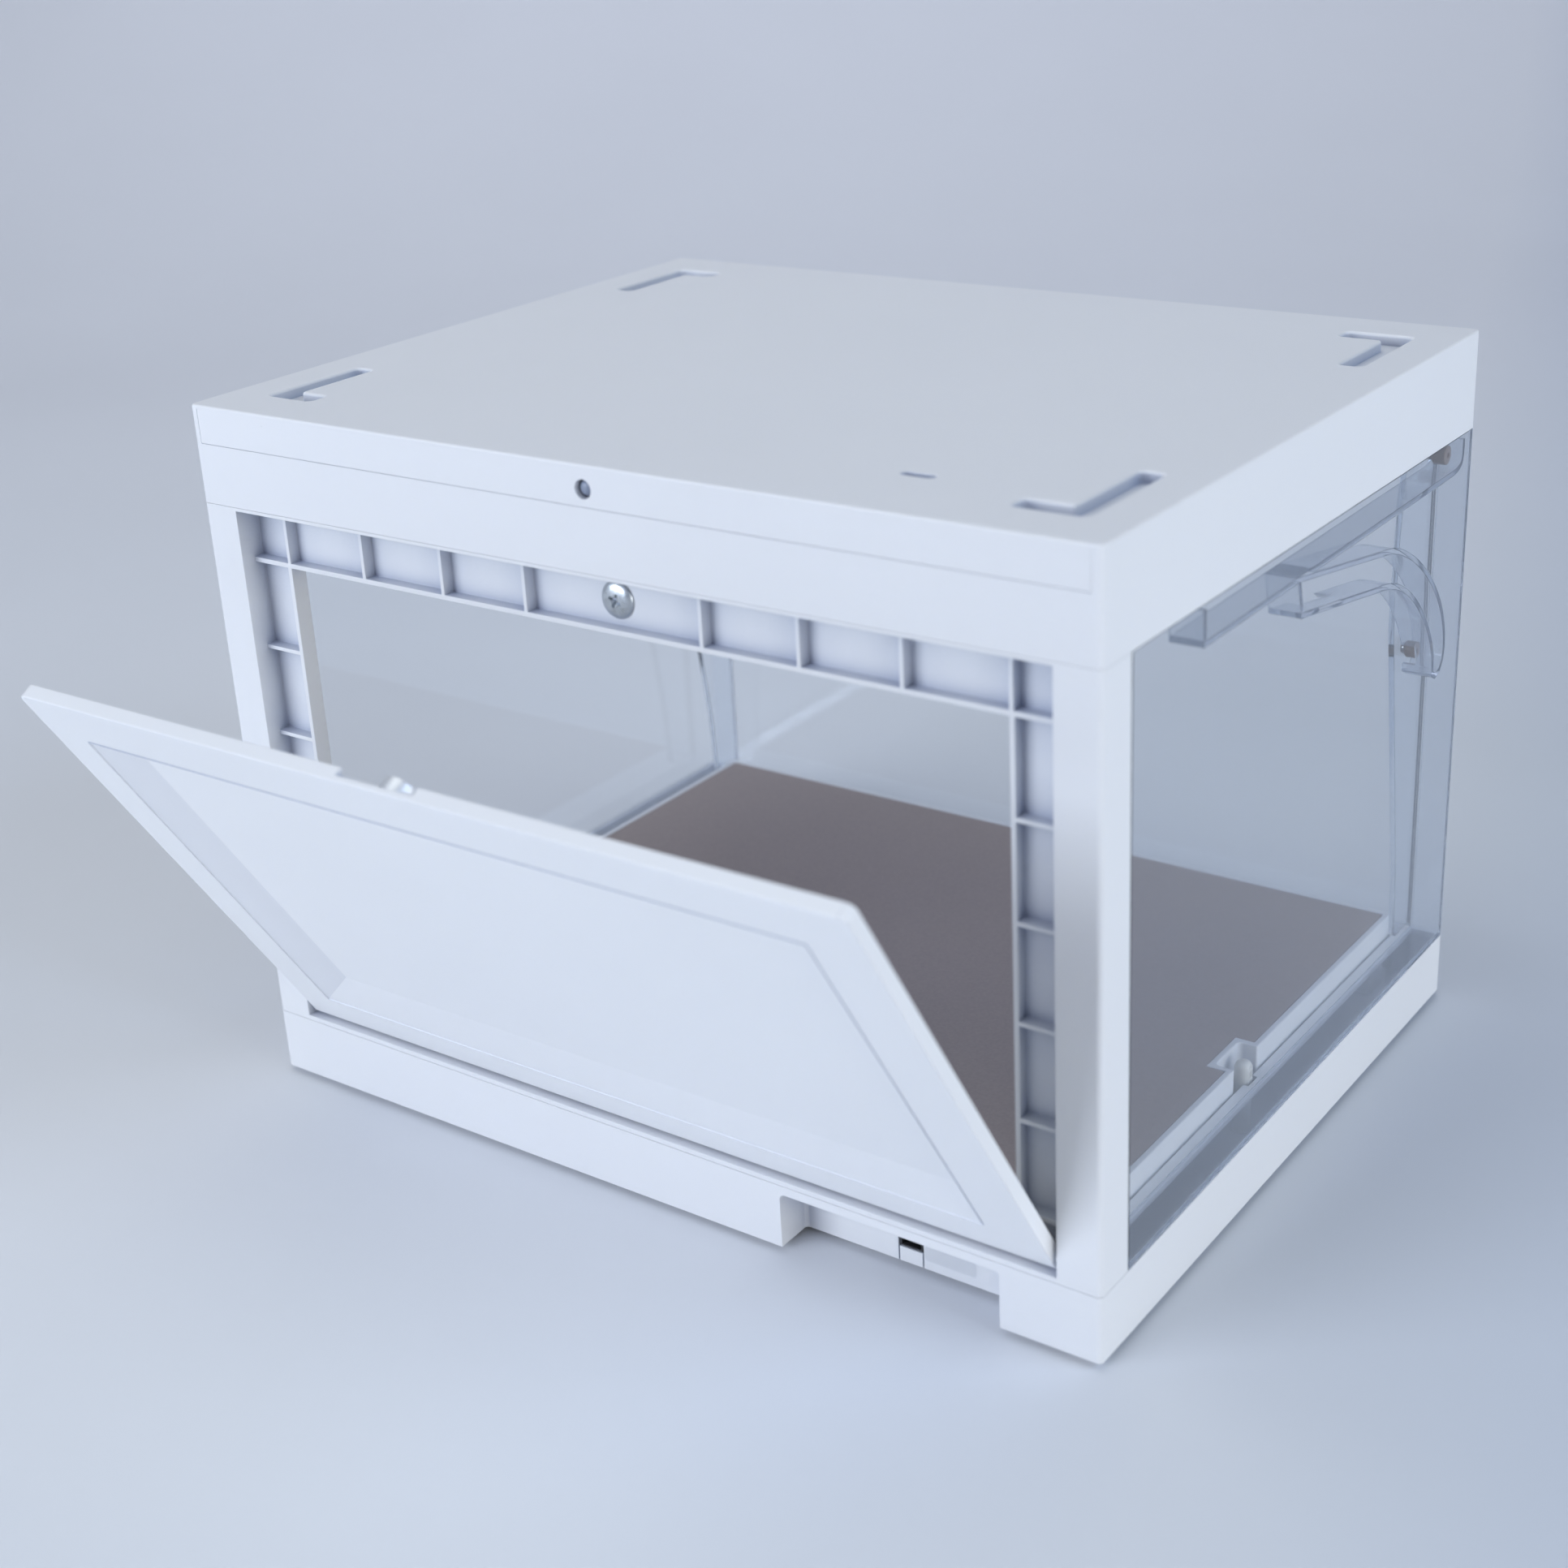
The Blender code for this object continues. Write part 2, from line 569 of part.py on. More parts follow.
def cable(name, points, radius):
    """A round cable along a smooth line through the points."""
    curve = bpy.data.curves.new(name, "CURVE")
    curve.dimensions = "3D"
    curve.resolution_u = 4
    curve.bevel_depth = radius / 1000
    curve.bevel_resolution = 1
    curve.use_fill_caps = True
    spline = curve.splines.new("BEZIER")
    spline.bezier_points.add(len(points) - 1)
    for knot, point in zip(spline.bezier_points, points):
        knot.co = pt(*point)
        knot.handle_left_type = knot.handle_right_type = "AUTO"
    curve.materials.append(SHEATH)
    bpy.context.scene.collection.objects.link(bpy.data.objects.new(name, curve))


cable("power_cable", POWER_PATH, radius=1.2)
cable("led_lead", LED_PATH, radius=0.8)

# -------------------------------------------------- power socket and sticker
inlet = box((274.6, 287.4), (17.4, 28.0), (3.0, 10.4))
join(inlet, box(shrink(INLET_X, GAP), (14.9, 18.0), shrink(INLET_Z, GAP)))
cut(inlet, box((277.3, 284.8), (13, 24), (6.6, 8.7)))
finish(inlet, "power_socket", BLACK, smooth_deg=None)
sticker = prism(rounded(rect((286.6, 306.4), (3.8, 9.3)), 0.8, 2), "y", (14.1, 14.3))
finish(sticker, "blank_sticker", FILM, smooth_deg=None)

# ---------------------------------------------------------------- end panels
PANEL_T = 2.0
PANEL_Y0 = FRAME_RETURN_Y + GAP
RAIL_T = 1.8
# Centre lines of the rails: y, z
TOP_RAIL = [(64, 226.6), (64, 216.0), (258, 216.3),
            *bezier((258, 216.3), (268, 216.2), (271.5, 217.0), (271.6, 221.5), 4),
            (271.7, 226.6)]
OUTER_RAIL = [(134.4, 202.2), (130.8, 216.1), (205, 203.7),
              *bezier((205, 203.7), (226.1, 200.4), (263.7, 174.7), (263.7, 150), 7),
              (263.0, 145.6), (260.4, 142.1), (256.6, 141.0), (253.6, 142.6)]
INNER_RAIL = [(133.9, 203.1), (203, 191.5),
              *bezier((203, 191.5), (231.2, 187.1), (253.2, 158.5), (253.2, 146), 7),
              (253.6, 142.2)]


def lower_pin_at(tilt):
    """y, z of the lower pins when the rear door has tilted this far."""
    y, z = LOWER_PIN[0] - UPPER_PIN[0], LOWER_PIN[1] - UPPER_PIN[1]
    cos, sin = math.cos(tilt), math.sin(tilt)
    return (UPPER_PIN[0] - REAR_TRAVEL / REAR_TILT * tilt + y * cos - z * sin,
            UPPER_PIN[1] + y * sin + z * cos)


def end_panel(side):
    def placed(span):
        return flipped(span) if side == "left" else span

    def rail(points):
        return prism(strip(points, RAIL_T / 2), "x", placed(RAIL_X))

    # The plate and its return across the rear
    inner_x, inner_y = WIDTH - PANEL_T, DEPTH - PANEL_T
    plate = rounded([(inner_x, PANEL_Y0), (WIDTH, PANEL_Y0), (WIDTH, DEPTH),
                     (RAIL_X[0], DEPTH), (RAIL_X[0], inner_y), (inner_x, inner_y)],
                    [0, 0, CORNER_R, 0, 0, 1.0])
    if side == "left":
        plate = [(WIDTH - x, y) for x, y in plate][::-1]
    body = prism(plate, "z", FRAME_Z)
    # Ledge along the bottom
    join(body, box(placed((RAIL_X[0], 358.7)), (PANEL_Y0, 279.0),
                   (FRAME_Z[0], FRAME_Z[0] + 2.0)))
    # The lower pin crosses the inner rail, which stands lower along its way.
    inner = rail(INNER_RAIL)
    path = [lower_pin_at(REAR_TILT * (k - 0.4) / 23.6) for k in range(25)]
    cut(inner, prism(strip(path, PIN_R + 0.4), "x",
                     placed((RAIL_X[0] - OVER, LOWER_PIN_TIP + 0.5))))
    join(body, rail(TOP_RAIL), rail(OUTER_RAIL), inner)
    finish(body, "end_panel_" + side, CLEAR)


end_panel("left")
end_panel("right")

# ----------------------------------------------------------------- rear door
FLANGE_OUTLINE = [              # y, z: a tapering flange that carries the pins
    (278.4, 27.0), (278.4, 227.0), (250.5, 227.0), (246.6, 195.0),
    (245.2, 160.0), (260.0, 57.0), (262.0, 27.0)]
FLANGE_RADII = [0, 0, 4.0, 30.0, 20.0, 30.0, 3.0]

rear_door = box((14.1, WIDTH - 14.1), (277.3, 279.5), (25.4, 227.3))
for x_span in both_sides((14.3, 16.5)):
    join(rear_door, prism(rounded(FLANGE_OUTLINE, FLANGE_RADII, 3), "x", x_span))
    for centre in (UPPER_PIN, LOWER_PIN):
        cut(rear_door, rod("x", centre, PIN_NECK + GAP, shrink(x_span, -OVER), 20))
finish(rear_door, "rear_door", CLEAR)

carriage = pivot("rear_carriage_axis", WIDTH / 2, *UPPER_PIN)
tilt_axis = pivot("rear_door_axis", WIDTH / 2, *UPPER_PIN, parent=carriage)
hang(rear_door, tilt_axis)

# ---------------------------------------------------------------- guide pins
PINS = [                        # level, centre, x of the head's start and tip, parent
    ("upper", UPPER_PIN, 349.4, 354.7, carriage),
    ("lower", LOWER_PIN, 346.1, LOWER_PIN_TIP, tilt_axis)]
for side in ("left", "right"):
    for level, centre, start, tip, parent in PINS:
        profile = [             # x, radius: retaining button, neck and head
            (342.5, 0), (342.5, 2.8), (342.8, 3.1), (343.2, 3.1), (343.2, PIN_NECK),
            (start, PIN_NECK), (start, PIN_R), (tip - 0.5, PIN_R), (tip, PIN_R - 0.5), (tip, 0)]
        if side == "left":
            profile = [(WIDTH - x, radius) for x, radius in profile]
        pin = lathe("x", centre, profile, 20)
        finish(pin, level + "_guide_pin_" + side, BROWN)
        hang(pin, parent)
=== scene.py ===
"""Looks of a stackable shoe display box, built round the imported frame.

The box stands upright on a base tray, under a lid. A drop door closes the front,
clear panels the left and right ends, and a clear door on guide pins the rear.

Sizes are millimetres in the box's corner frame: x from the left side, y from the
front face backwards, z up from the underside of the base. to_scene() turns them
into scene metres about the middle of the footprint. A span is a (low, high) pair.
"""
import math

import bmesh
import bpy
from mathutils import Matrix, Vector


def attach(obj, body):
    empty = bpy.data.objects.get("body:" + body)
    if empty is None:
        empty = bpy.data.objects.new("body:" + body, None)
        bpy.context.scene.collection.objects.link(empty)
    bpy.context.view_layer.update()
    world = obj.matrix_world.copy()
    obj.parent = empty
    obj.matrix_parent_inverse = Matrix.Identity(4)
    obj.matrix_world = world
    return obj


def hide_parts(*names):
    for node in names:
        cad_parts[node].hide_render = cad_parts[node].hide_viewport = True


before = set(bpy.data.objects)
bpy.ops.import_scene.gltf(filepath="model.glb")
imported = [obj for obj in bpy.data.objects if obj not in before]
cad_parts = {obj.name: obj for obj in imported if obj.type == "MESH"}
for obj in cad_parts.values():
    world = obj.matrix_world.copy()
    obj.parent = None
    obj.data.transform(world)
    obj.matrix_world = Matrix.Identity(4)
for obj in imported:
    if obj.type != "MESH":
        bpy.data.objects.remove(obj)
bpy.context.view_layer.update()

# Sizes shared by several pieces.
WIDTH, DEPTH, HEIGHT = 360.0, 280.0, 265.0
GAP = 0.3
SEAM = 0.14
CORNER_R = 2.2
WALL = 2.2
BASE_TOP = 24.4
FRAME_Z = (BASE_TOP + SEAM, 229.28)
LUG_H = 2.4
DOOR_AXIS = (3.2, 32.4)                         # y, z of the drop door's hinge
LATCH = (181.0, 218.4)                          # x, z of the screw and magnet
SENSOR = (178.7, 257.0)                         # x, z of the lens
STRIP_Z0 = 251.1
PIN_R, PIN_NECK = 3.6, 2.2
UPPER_PIN, LOWER_PIN = (266.6, 221.6), (258.0, 149.8)   # y, z with the door shut


# ------------------------------------------------------------------- outlines
def mirror(span):
    """The same x span at the other side of the box."""
    return (WIDTH - span[1], WIDTH - span[0])


def rect(first, second):
    (a0, a1), (b0, b1) = first, second
    return [(a0, b0), (a1, b0), (a1, b1), (a0, b1)]


def rounded(points, radii, steps=6):
    """An outline with its corners turned into arcs; one radius, or one per corner."""
    if not isinstance(radii, (list, tuple)):
        radii = [radii] * len(points)
    out = []
    count = len(points)
    for i, (corner, radius) in enumerate(zip(points, radii)):
        corner = Vector(corner)
        if radius <= 0:
            out.append(tuple(corner))
            continue
        back = (Vector(points[i - 1]) - corner).normalized()
        ahead = (Vector(points[(i + 1) % count]) - corner).normalized()
        half = back.angle(ahead) / 2
        reach = radius / math.tan(half)
        centre = corner + (back + ahead).normalized() * (radius / math.sin(half))
        start = corner + back * reach - centre
        end = corner + ahead * reach - centre
        turn = math.atan2(start.x * end.y - start.y * end.x, start.dot(end))
        for k in range(steps + 1):
            angle = turn * k / steps
            cos, sin = math.cos(angle), math.sin(angle)
            out.append((centre.x + start.x * cos - start.y * sin,
                        centre.y + start.x * sin + start.y * cos))
    return out


def strip(points, half):
    """The outline of a band reaching half to each side of a path."""
    left, right = [], []
    for i, point in enumerate(points):
        point = Vector(point)
        before = (point - Vector(points[i - 1])).normalized() if i else None
        after = (Vector(points[i + 1]) - point).normalized() if i + 1 < len(points) else None
        along = ((before or after) + (after or before)).normalized()
        reach = half / max(0.5, along.dot(after or before))
        offset = Vector((-along.y, along.x)) * reach
        left.append(tuple(point + offset))
        right.append(tuple(point - offset))
    return left + right[::-1]


def bezier(start, start_pull, end_pull, end, steps):
    """Points on a cubic curve, leaving out its start."""
    out = []
    for k in range(1, steps + 1):
        t = k / steps
        u = 1 - t
        out.append(tuple(u ** 3 * a + 3 * u * u * t * b + 3 * u * t * t * c + t ** 3 * d
                         for a, b, c, d in zip(start, start_pull, end_pull, end)))
    return out


# --------------------------------------------------------------------- solids
def to_scene(x, y, z):
    return Vector(((x - WIDTH / 2) / 1000, (y - DEPTH / 2) / 1000, z / 1000))


def across(axis, first, second, along):
    """Scene point from two coordinates across an axis (in x, y, z order) and one along it."""
    if axis == "x":
        return to_scene(along, first, second)
    if axis == "y":
        return to_scene(first, along, second)
    return to_scene(first, second, along)


def to_object(bm, name="shape"):
    bmesh.ops.recalc_face_normals(bm, faces=bm.faces)
    mesh = bpy.data.meshes.new(name)
    bm.to_mesh(mesh)
    bm.free()
    obj = bpy.data.objects.new(name, mesh)
    bpy.context.scene.collection.objects.link(obj)
    return obj


def prism(points, axis, span):
    """Extrudes an outline drawn across an axis over a span of that axis."""
    low, high = span
    bm = bmesh.new()
    face = bm.faces.new([bm.verts.new(across(axis, a, b, low)) for a, b in points])
    made = bmesh.ops.extrude_face_region(bm, geom=[face])
    shift = across(axis, 0, 0, high) - across(axis, 0, 0, low)
    for vert in made["geom"]:
        if isinstance(vert, bmesh.types.BMVert):
            vert.co += shift
    return to_object(bm)


def box(x, y, z):
    return prism(rect(x, y), "z", z)


def lathe(axis, centre, profile, steps=48):
    """Turns a profile of (place along axis, radius) about an axis through centre."""
    bm = bmesh.new()
    rings = []
    for along, radius in profile:
        ring = []
        for k in range(1 if radius == 0 else steps):
            angle = 2 * math.pi * k / steps
            ring.append(bm.verts.new(across(axis, centre[0] + radius * math.cos(angle),
                                            centre[1] + radius * math.sin(angle), along)))
        rings.append(ring)
    for lower, upper in zip(rings, rings[1:]):
        for k in range(steps):
            corners = []
            # A ring of one vertex repeats it, so each face lists it once.
            for vert in (lower[k % len(lower)], lower[(k + 1) % len(lower)],
                         upper[(k + 1) % len(upper)], upper[k % len(upper)]):
                if vert not in corners:
                    corners.append(vert)
            if len(corners) > 2:
                bm.faces.new(corners)
    return to_object(bm)


def rod(axis, centre, radius, span, steps):
    low, high = span
    return lathe(axis, centre, [(low, 0), (low, radius), (high, radius), (high, 0)], steps)


def loft(sections):
    """A closed solid through loops of (x, y, z) points, all of one length."""
    bm = bmesh.new()
    loops = [[bm.verts.new(to_scene(*point)) for point in section] for section in sections]
    bm.faces.new(loops[0])
    bm.faces.new(loops[-1])
    for lower, upper in zip(loops, loops[1:]):
        count = len(lower)
        for k in range(count):
            bm.faces.new((lower[k], lower[(k + 1) % count], upper[(k + 1) % count], upper[k]))
    return to_object(bm)


def settle(obj):
    """Applies every modifier on obj."""
    graph = bpy.context.evaluated_depsgraph_get()
    mesh = bpy.data.meshes.new_from_object(obj.evaluated_get(graph))
    obj.modifiers.clear()
    obj.data = mesh


def combine(body, operation, *tools):
    for tool in tools:
        mod = body.modifiers.new("boolean", "BOOLEAN")
        mod.operation = operation
        mod.solver = "EXACT"
        mod.object = tool
        settle(body)
        bpy.data.objects.remove(tool, do_unlink=True)


def cut(body, *tools):
    combine(body, "DIFFERENCE", *tools)


def join(body, *tools):
    combine(body, "UNION", *tools)


def polish(obj, sharp=40):
    """Smooth shading, with edges over sharp degrees left crisp."""
    obj.data.shade_smooth()
    obj.data.set_sharp_from_angle(angle=math.radians(sharp))
    mod = obj.modifiers.new("normals", "WEIGHTED_NORMAL")
    mod.mode = "FACE_AREA"
    mod.weight = 50
    mod.keep_sharp = True


def soften(obj, width, segments=2, angle=32):
    """Moulded edges: every edge sharper than angle degrees is rounded by width mm."""
    bm = bmesh.new()
    bm.from_mesh(obj.data)
    bmesh.ops.remove_doubles(bm, verts=bm.verts, dist=2e-6)
    bmesh.ops.dissolve_limit(bm, angle_limit=math.radians(0.5), verts=bm.verts, edges=bm.edges)
    bm.to_mesh(obj.data)
    bm.free()
    mod = obj.modifiers.new("edges", "BEVEL")
    mod.width = width / 1000
    mod.segments = segments
    mod.limit_method = "ANGLE"
    mod.angle_limit = math.radians(angle)
    mod.use_clamp_overlap = False
    mod.miter_outer = "MITER_SHARP"
    settle(obj)
    polish(obj)


def give(obj, name, material, cad_node, body="root"):
    """Names the piece, sets its finish, and lets it stand for a CAD node."""
    obj.name = name
    obj.data.name = name
    obj.data.materials.clear()
    obj.data.materials.append(material)
    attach(obj, body)
    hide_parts(cad_node)


# ------------------------------------------------------------------ materials
# Sockets of a Mix node when it mixes colours.
COLOR_A, COLOR_B, COLOR_OUT = 6, 7, 2


class Shader:
    """A material's node tree. Textures use object coordinates, so the grain is
    the same at every size of piece."""

    def __init__(self, name, principled=True):
        self.material = bpy.data.materials.new(name)
        self.material.use_nodes = True
        self.tree = self.material.node_tree
        if principled:
            self.bsdf = self.tree.nodes["Principled BSDF"]
        else:
            self.tree.nodes.clear()
            self.output = self.tree.nodes.new("ShaderNodeOutputMaterial")
        place = self.add("TexCoord")["Object"]
        self.vector = self.add("Mapping", {"Vector": place})["Vector"]

    def feed(self, node, inputs):
        """Links each input to a socket, or sets it to a plain value."""
        for key, value in inputs.items():
            if isinstance(value, bpy.types.NodeSocket):
                self.tree.links.new(value, node.inputs[key])
            else:
                node.inputs[key].default_value = value

    def add(self, kind, inputs=None, **settings):
        """Makes a node and returns its outputs."""
        made = self.tree.nodes.new("ShaderNode" + kind)
        for key, value in settings.items():
            setattr(made, key, value)
        self.feed(made, inputs or {})
        return made.outputs

    def noise(self, scale, detail=2.0, roughness=0.5):
        return self.add("TexNoise", {"Scale": scale, "Detail": detail, "Roughness": roughness,
                                     "Vector": self.vector})["Fac"]

    def ramp(self, factor, stops):
        """Stops are (position, colour); a single number stands for a grey."""
        made = self.tree.nodes.new("ShaderNodeValToRGB")
        elements = made.color_ramp.elements
        while len(elements) < len(stops):
            elements.new(0.5)
        for element, (position, color) in zip(elements, stops):
            element.position = position
            element.color = (*color, 1) if isinstance(color, tuple) else (color, color, color, 1)
        self.feed(made, {"Fac": factor})
        return made.outputs["Color"]

    def bump(self, height, distance, strength):
        return self.add("Bump", {"Distance": distance, "Strength": strength,
                                 "Height": height})["Normal"]

    def math(self, operation, *terms):
        return self.add("Math", dict(enumerate(terms)), operation=operation)[0]

    def multiply(self, color, other):
        return self.add("Mix", {"Factor": 1.0, COLOR_A: color, COLOR_B: other},
                        data_type="RGBA", blend_type="MULTIPLY")[COLOR_OUT]

    def mix_shader(self, factor, first, second):
        return self.add("MixShader", {"Fac": factor, 1: first, 2: second})[0]


def paint_slope_shade(shader):
    """Painted shade: faces leaning slightly towards the right, such as the door's shallow ramps,
    take a deeper tone.
    """
    base = shader.bsdf.inputs["Base Color"].links[0].from_socket
    normal = shader.add("NewGeometry")["True Normal"]
    lean = shader.add("SeparateXYZ", {0: normal})["X"]
    slope_shade_tone = (0.89, 0.895, 0.915)
    slope_shade_band = shader.ramp(lean, [(0.06, 1.0), (0.09, slope_shade_tone), (0.20, slope_shade_tone), (0.30, 1.0)])
    shader.feed(shader.bsdf, {"Base Color": shader.multiply(base, slope_shade_band)})


def moulded_white(name, tint, roughness, reach=0.014, shade_slopes=False):
    """Satin moulded plastic: fine grain, slow variation of tone and gloss, a few
    specks of dust, and painted shade, darker and cooler, in corners within reach metres."""
    shader = Shader(name)
    flow = shader.noise(scale=9.0, detail=3.0, roughness=0.55)
    fine = shader.noise(scale=2600.0, roughness=0.6)
    tone = shader.ramp(flow, [(0.3, tuple(c * 0.985 for c in tint)), (0.7, tint)])
    specks = shader.add("TexVoronoi", {"Scale": 85.0, "Randomness": 1.0,
                                       "Vector": shader.vector})["Distance"]
    dots = shader.ramp(specks, [(0.0, 1.0), (0.022, 0.0)])
    few = shader.ramp(shader.noise(scale=37.0, detail=1.0), [(0.60, 0.0), (0.66, 1.0)])
    dusty = shader.add("Mix", {"Factor": shader.math("MULTIPLY", dots, few), COLOR_A: tone,
                               COLOR_B: (0.42, 0.44, 0.48, 1)}, data_type="RGBA")[COLOR_OUT]
    # Painted shade: inner corners and recesses are darkened and cooled, as if they hold less
    # light.
    corner = shader.add("AmbientOcclusion", {"Distance": reach}, samples=4, only_local=True)["AO"]
    painted_corner_shade = shader.ramp(corner, [(0.10, (0.30, 0.35, 0.48)), (0.55, (0.69, 0.725, 0.81)),
                                (0.90, 1.0)])
    color = shader.multiply(dusty, painted_corner_shade)
    gloss = shader.ramp(flow, [(0.25, roughness - 0.03), (0.75, roughness + 0.04)])
    shader.feed(shader.bsdf, {
        "Base Color": color,
        "Roughness": gloss,
        "Normal": shader.bump(fine, distance=0.00002, strength=0.10),
        "IOR": 1.49,
        "Specular IOR Level": 0.42,
        "Subsurface Weight": 0.06,
        "Subsurface Radius": (0.0012, 0.0013, 0.0016),
        "Subsurface Scale": 1.0,
    })
    # Painted shade on faces leaning slightly towards the right.
    if shade_slopes:
        paint_slope_shade(shader)
    return shader.material


def clear_plastic(name, frost):
    """Clear moulding: refracts, darkens along its thickness, lets light through
    to the inside, and is frosted by the given share inside the outer sheets."""
    shader = Shader(name, principled=False)
    haze = shader.ramp(shader.noise(scale=60.0, detail=3.0, roughness=0.6),
                       [(0.35, 0.0), (0.8, 0.05)])
    swell = shader.bump(shader.noise(scale=14.0), distance=0.0006, strength=0.06)
    glass = shader.add("BsdfGlass", {"IOR": 1.5, "Color": (0.985, 0.992, 1.0, 1),
                                     "Roughness": haze, "Normal": swell})[0]
    through = shader.add("BsdfTransparent", {"Color": (0.955, 0.965, 0.98, 1)})[0]
    # Shadow and diffuse rays pass straight through.
    rays = shader.add("LightPath")
    straight = shader.math("MAXIMUM", rays["Is Shadow Ray"], rays["Is Diffuse Ray"])
    sheet = shader.mix_shader(straight, glass, through)
    # Frost starts just inside the outer face of the end panels (metres from the middle).
    x = shader.add("SeparateXYZ", {0: shader.vector})["X"]
    inner = shader.add("MapRange", {"From Min": 0.1776, "From Max": 0.1779, "To Min": frost,
                                    "To Max": 0.0, "Value": shader.math("ABSOLUTE", x)})["Result"]
    pale = {"Color": (0.80, 0.85, 0.93, 1)}
    milk = shader.add("BsdfTranslucent", pale)[0]
    chalk = shader.add("BsdfDiffuse", pale)[0]
    cloud = shader.mix_shader(0.5, milk, chalk)
    absorb = shader.add("VolumeAbsorption", {"Color": (0.45, 0.60, 0.80, 1), "Density": 9.0})[0]
    shader.feed(shader.output, {"Surface": shader.mix_shader(inner, sheet, cloud),
                                "Volume": absorb})
    return shader.material


def grained(name, dark, light, roughness, scale, depth, metallic=0.0,
            spread=0.08, detail=3.0, strength=0.5):
    """A fine two-tone grain with a matching bump; spread is added to the
    roughness of its light parts."""
    shader = Shader(name)
    grain = shader.noise(scale, detail, roughness=0.6)
    shader.feed(shader.bsdf, {
        "Base Color": shader.ramp(grain, [(0.3, dark), (0.7, light)]),
        "Roughness": shader.ramp(grain, [(0.3, roughness), (0.7, roughness + spread)]),
        "Normal": shader.bump(grain, depth, strength),
        "Metallic": metallic,
    })
    return shader.material


def film_material():
    """Thin clear film with a faint shine."""
    shader = Shader("clear_film", principled=False)
    through = shader.add("BsdfTransparent", {"Color": (0.985, 0.987, 0.99, 1)})[0]
    gloss = shader.ramp(shader.noise(scale=300.0), [(0.3, 0.12), (0.7, 0.2)])
    shine = shader.add("BsdfGlossy", {"Roughness": gloss})[0]
    shader.feed(shader.output, {"Surface": shader.mix_shader(0.06, through, shine)})
    return shader.material


WHITE_TINT = (0.885, 0.885, 0.89)
# The white copies differ in how far their painted corner shade reaches.
WHITE = moulded_white("white_moulding", WHITE_TINT, roughness=0.38)
WHITE_LID = moulded_white("white_lid", WHITE_TINT, roughness=0.38, reach=0.008)
# The door's copy also paints shade on its shallow slopes.
WHITE_DOOR = moulded_white("white_door", (0.915, 0.915, 0.92), roughness=0.34, reach=0.004,
                           shade_slopes=True)
CLEAR = clear_plastic("clear_moulding", frost=0.16)
CLEAR_DOOR = clear_plastic("clear_door", frost=0.03)

# Name: dark tone, light tone, roughness, noise scale, bump depth (m), metallic.
GRAINS = {
    "grey_mat": ((0.375, 0.308, 0.282), (0.43, 0.352, 0.324), 0.55, 900.0, 0.00006, 0.0),
    "cream_peg": ((0.78, 0.76, 0.70), (0.82, 0.80, 0.74), 0.35, 300.0, 0.00002, 0.0),
    "brown_pin": ((0.17, 0.115, 0.085), (0.22, 0.15, 0.11), 0.35, 500.0, 0.00002, 0.0),
    "black_socket": ((0.018, 0.018, 0.02), (0.03, 0.03, 0.034), 0.4, 900.0, 0.00003, 0.0),
    "dark_lens": ((0.25, 0.29, 0.38), (0.29, 0.33, 0.42), 0.25, 60.0, 0.00001, 0.0),
    "circuit_board": ((0.03, 0.17, 0.07), (0.05, 0.22, 0.09), 0.4, 400.0, 0.00002, 0.0),
    "light_board": ((0.74, 0.74, 0.72), (0.8, 0.8, 0.78), 0.4, 300.0, 0.00002, 0.0),
    "frosted_cover": ((0.78, 0.80, 0.83), (0.84, 0.86, 0.88), 0.5, 700.0, 0.00003, 0.0),
    "cable_sheath": ((0.6, 0.61, 0.63), (0.68, 0.69, 0.7), 0.5, 250.0, 0.00003, 0.0),
    "nickel_plate": ((0.72, 0.73, 0.75), (0.80, 0.81, 0.83), 0.38, 700.0, 0.00001, 0.55),
}
GRAINED = {name: grained(name, *values) for name, values in GRAINS.items()}
ZINC = grained("zinc_plate", (0.50, 0.53, 0.56), (0.66, 0.69, 0.71), roughness=0.24,
               scale=420.0, depth=0.00004, metallic=0.9, spread=0.12, detail=4.0, strength=0.4)
FILM = film_material()

# -------------------------------------------------------------- stacking lugs
CORNERS = [(right, rear) for right in (False, True) for rear in (False, True)]
# Far and near x of the leg running along y, x where the leg running along x ends,
# y where the leg running along y ends. All as at the right; the left is mirrored.
LUG_RIGHT = (344.0, 335.4, 318.7, 68.5)
LUG_LEFT = (343.0, 335.0, 322.0, 65.5)
LUG_LEG_Y = (21.0, 29.4)                        # y span of the leg running along x


def l_shape(right, rear, inset, steps):
    """L outline of a corner's lug or socket, drawn in by inset."""
    outer, inner, short, long = LUG_RIGHT if right else LUG_LEFT
    front, back = LUG_LEG_Y
    points = [(outer - inset, front + inset), (outer - inset, long - inset),
              (inner + inset, long - inset), (inner + inset, back - inset),
              (short + inset, back - inset), (short + inset, front + inset)]
    if rear:
        points = [(x, DEPTH - y) for x, y in points]
    if not right:
        points = [(WIDTH - x, y) for x, y in points]
    tight = 2.5 - inset
    return rounded(points, [3.0 - inset, tight, tight, 1.5 + inset, tight, tight], steps)


# ------------------------------------------------------------------ base tray
PLATFORM_X, PLATFORM_Y, PLATFORM_Z = (19.1, 340.9), (18.0, 271.0), (13.0, 33.0)
TRAY_WALL = 2.5
CUTOUT_X, CUTOUT_Y, CUTOUT_Z = (238.7, 323.5), 14.5, 21.0
RECESS_X, RECESS_Y = (237.4, 326.0), 17.0       # where the hollow stops short behind the cut-out
SLOT_X, SLOT_Y = (276.1, 286.0), (12, 20)       # small slot in the cut-out's back wall
SLIT_W = 0.4
SEAT, SEATS_X, SEATS_Y = 12, (19.5, 328.5), (20.0, 255.0)
THROUGH_TOP = (20, 30)
PANEL_SLOT = ((347.4, 356.9), (19.5, 276.6))


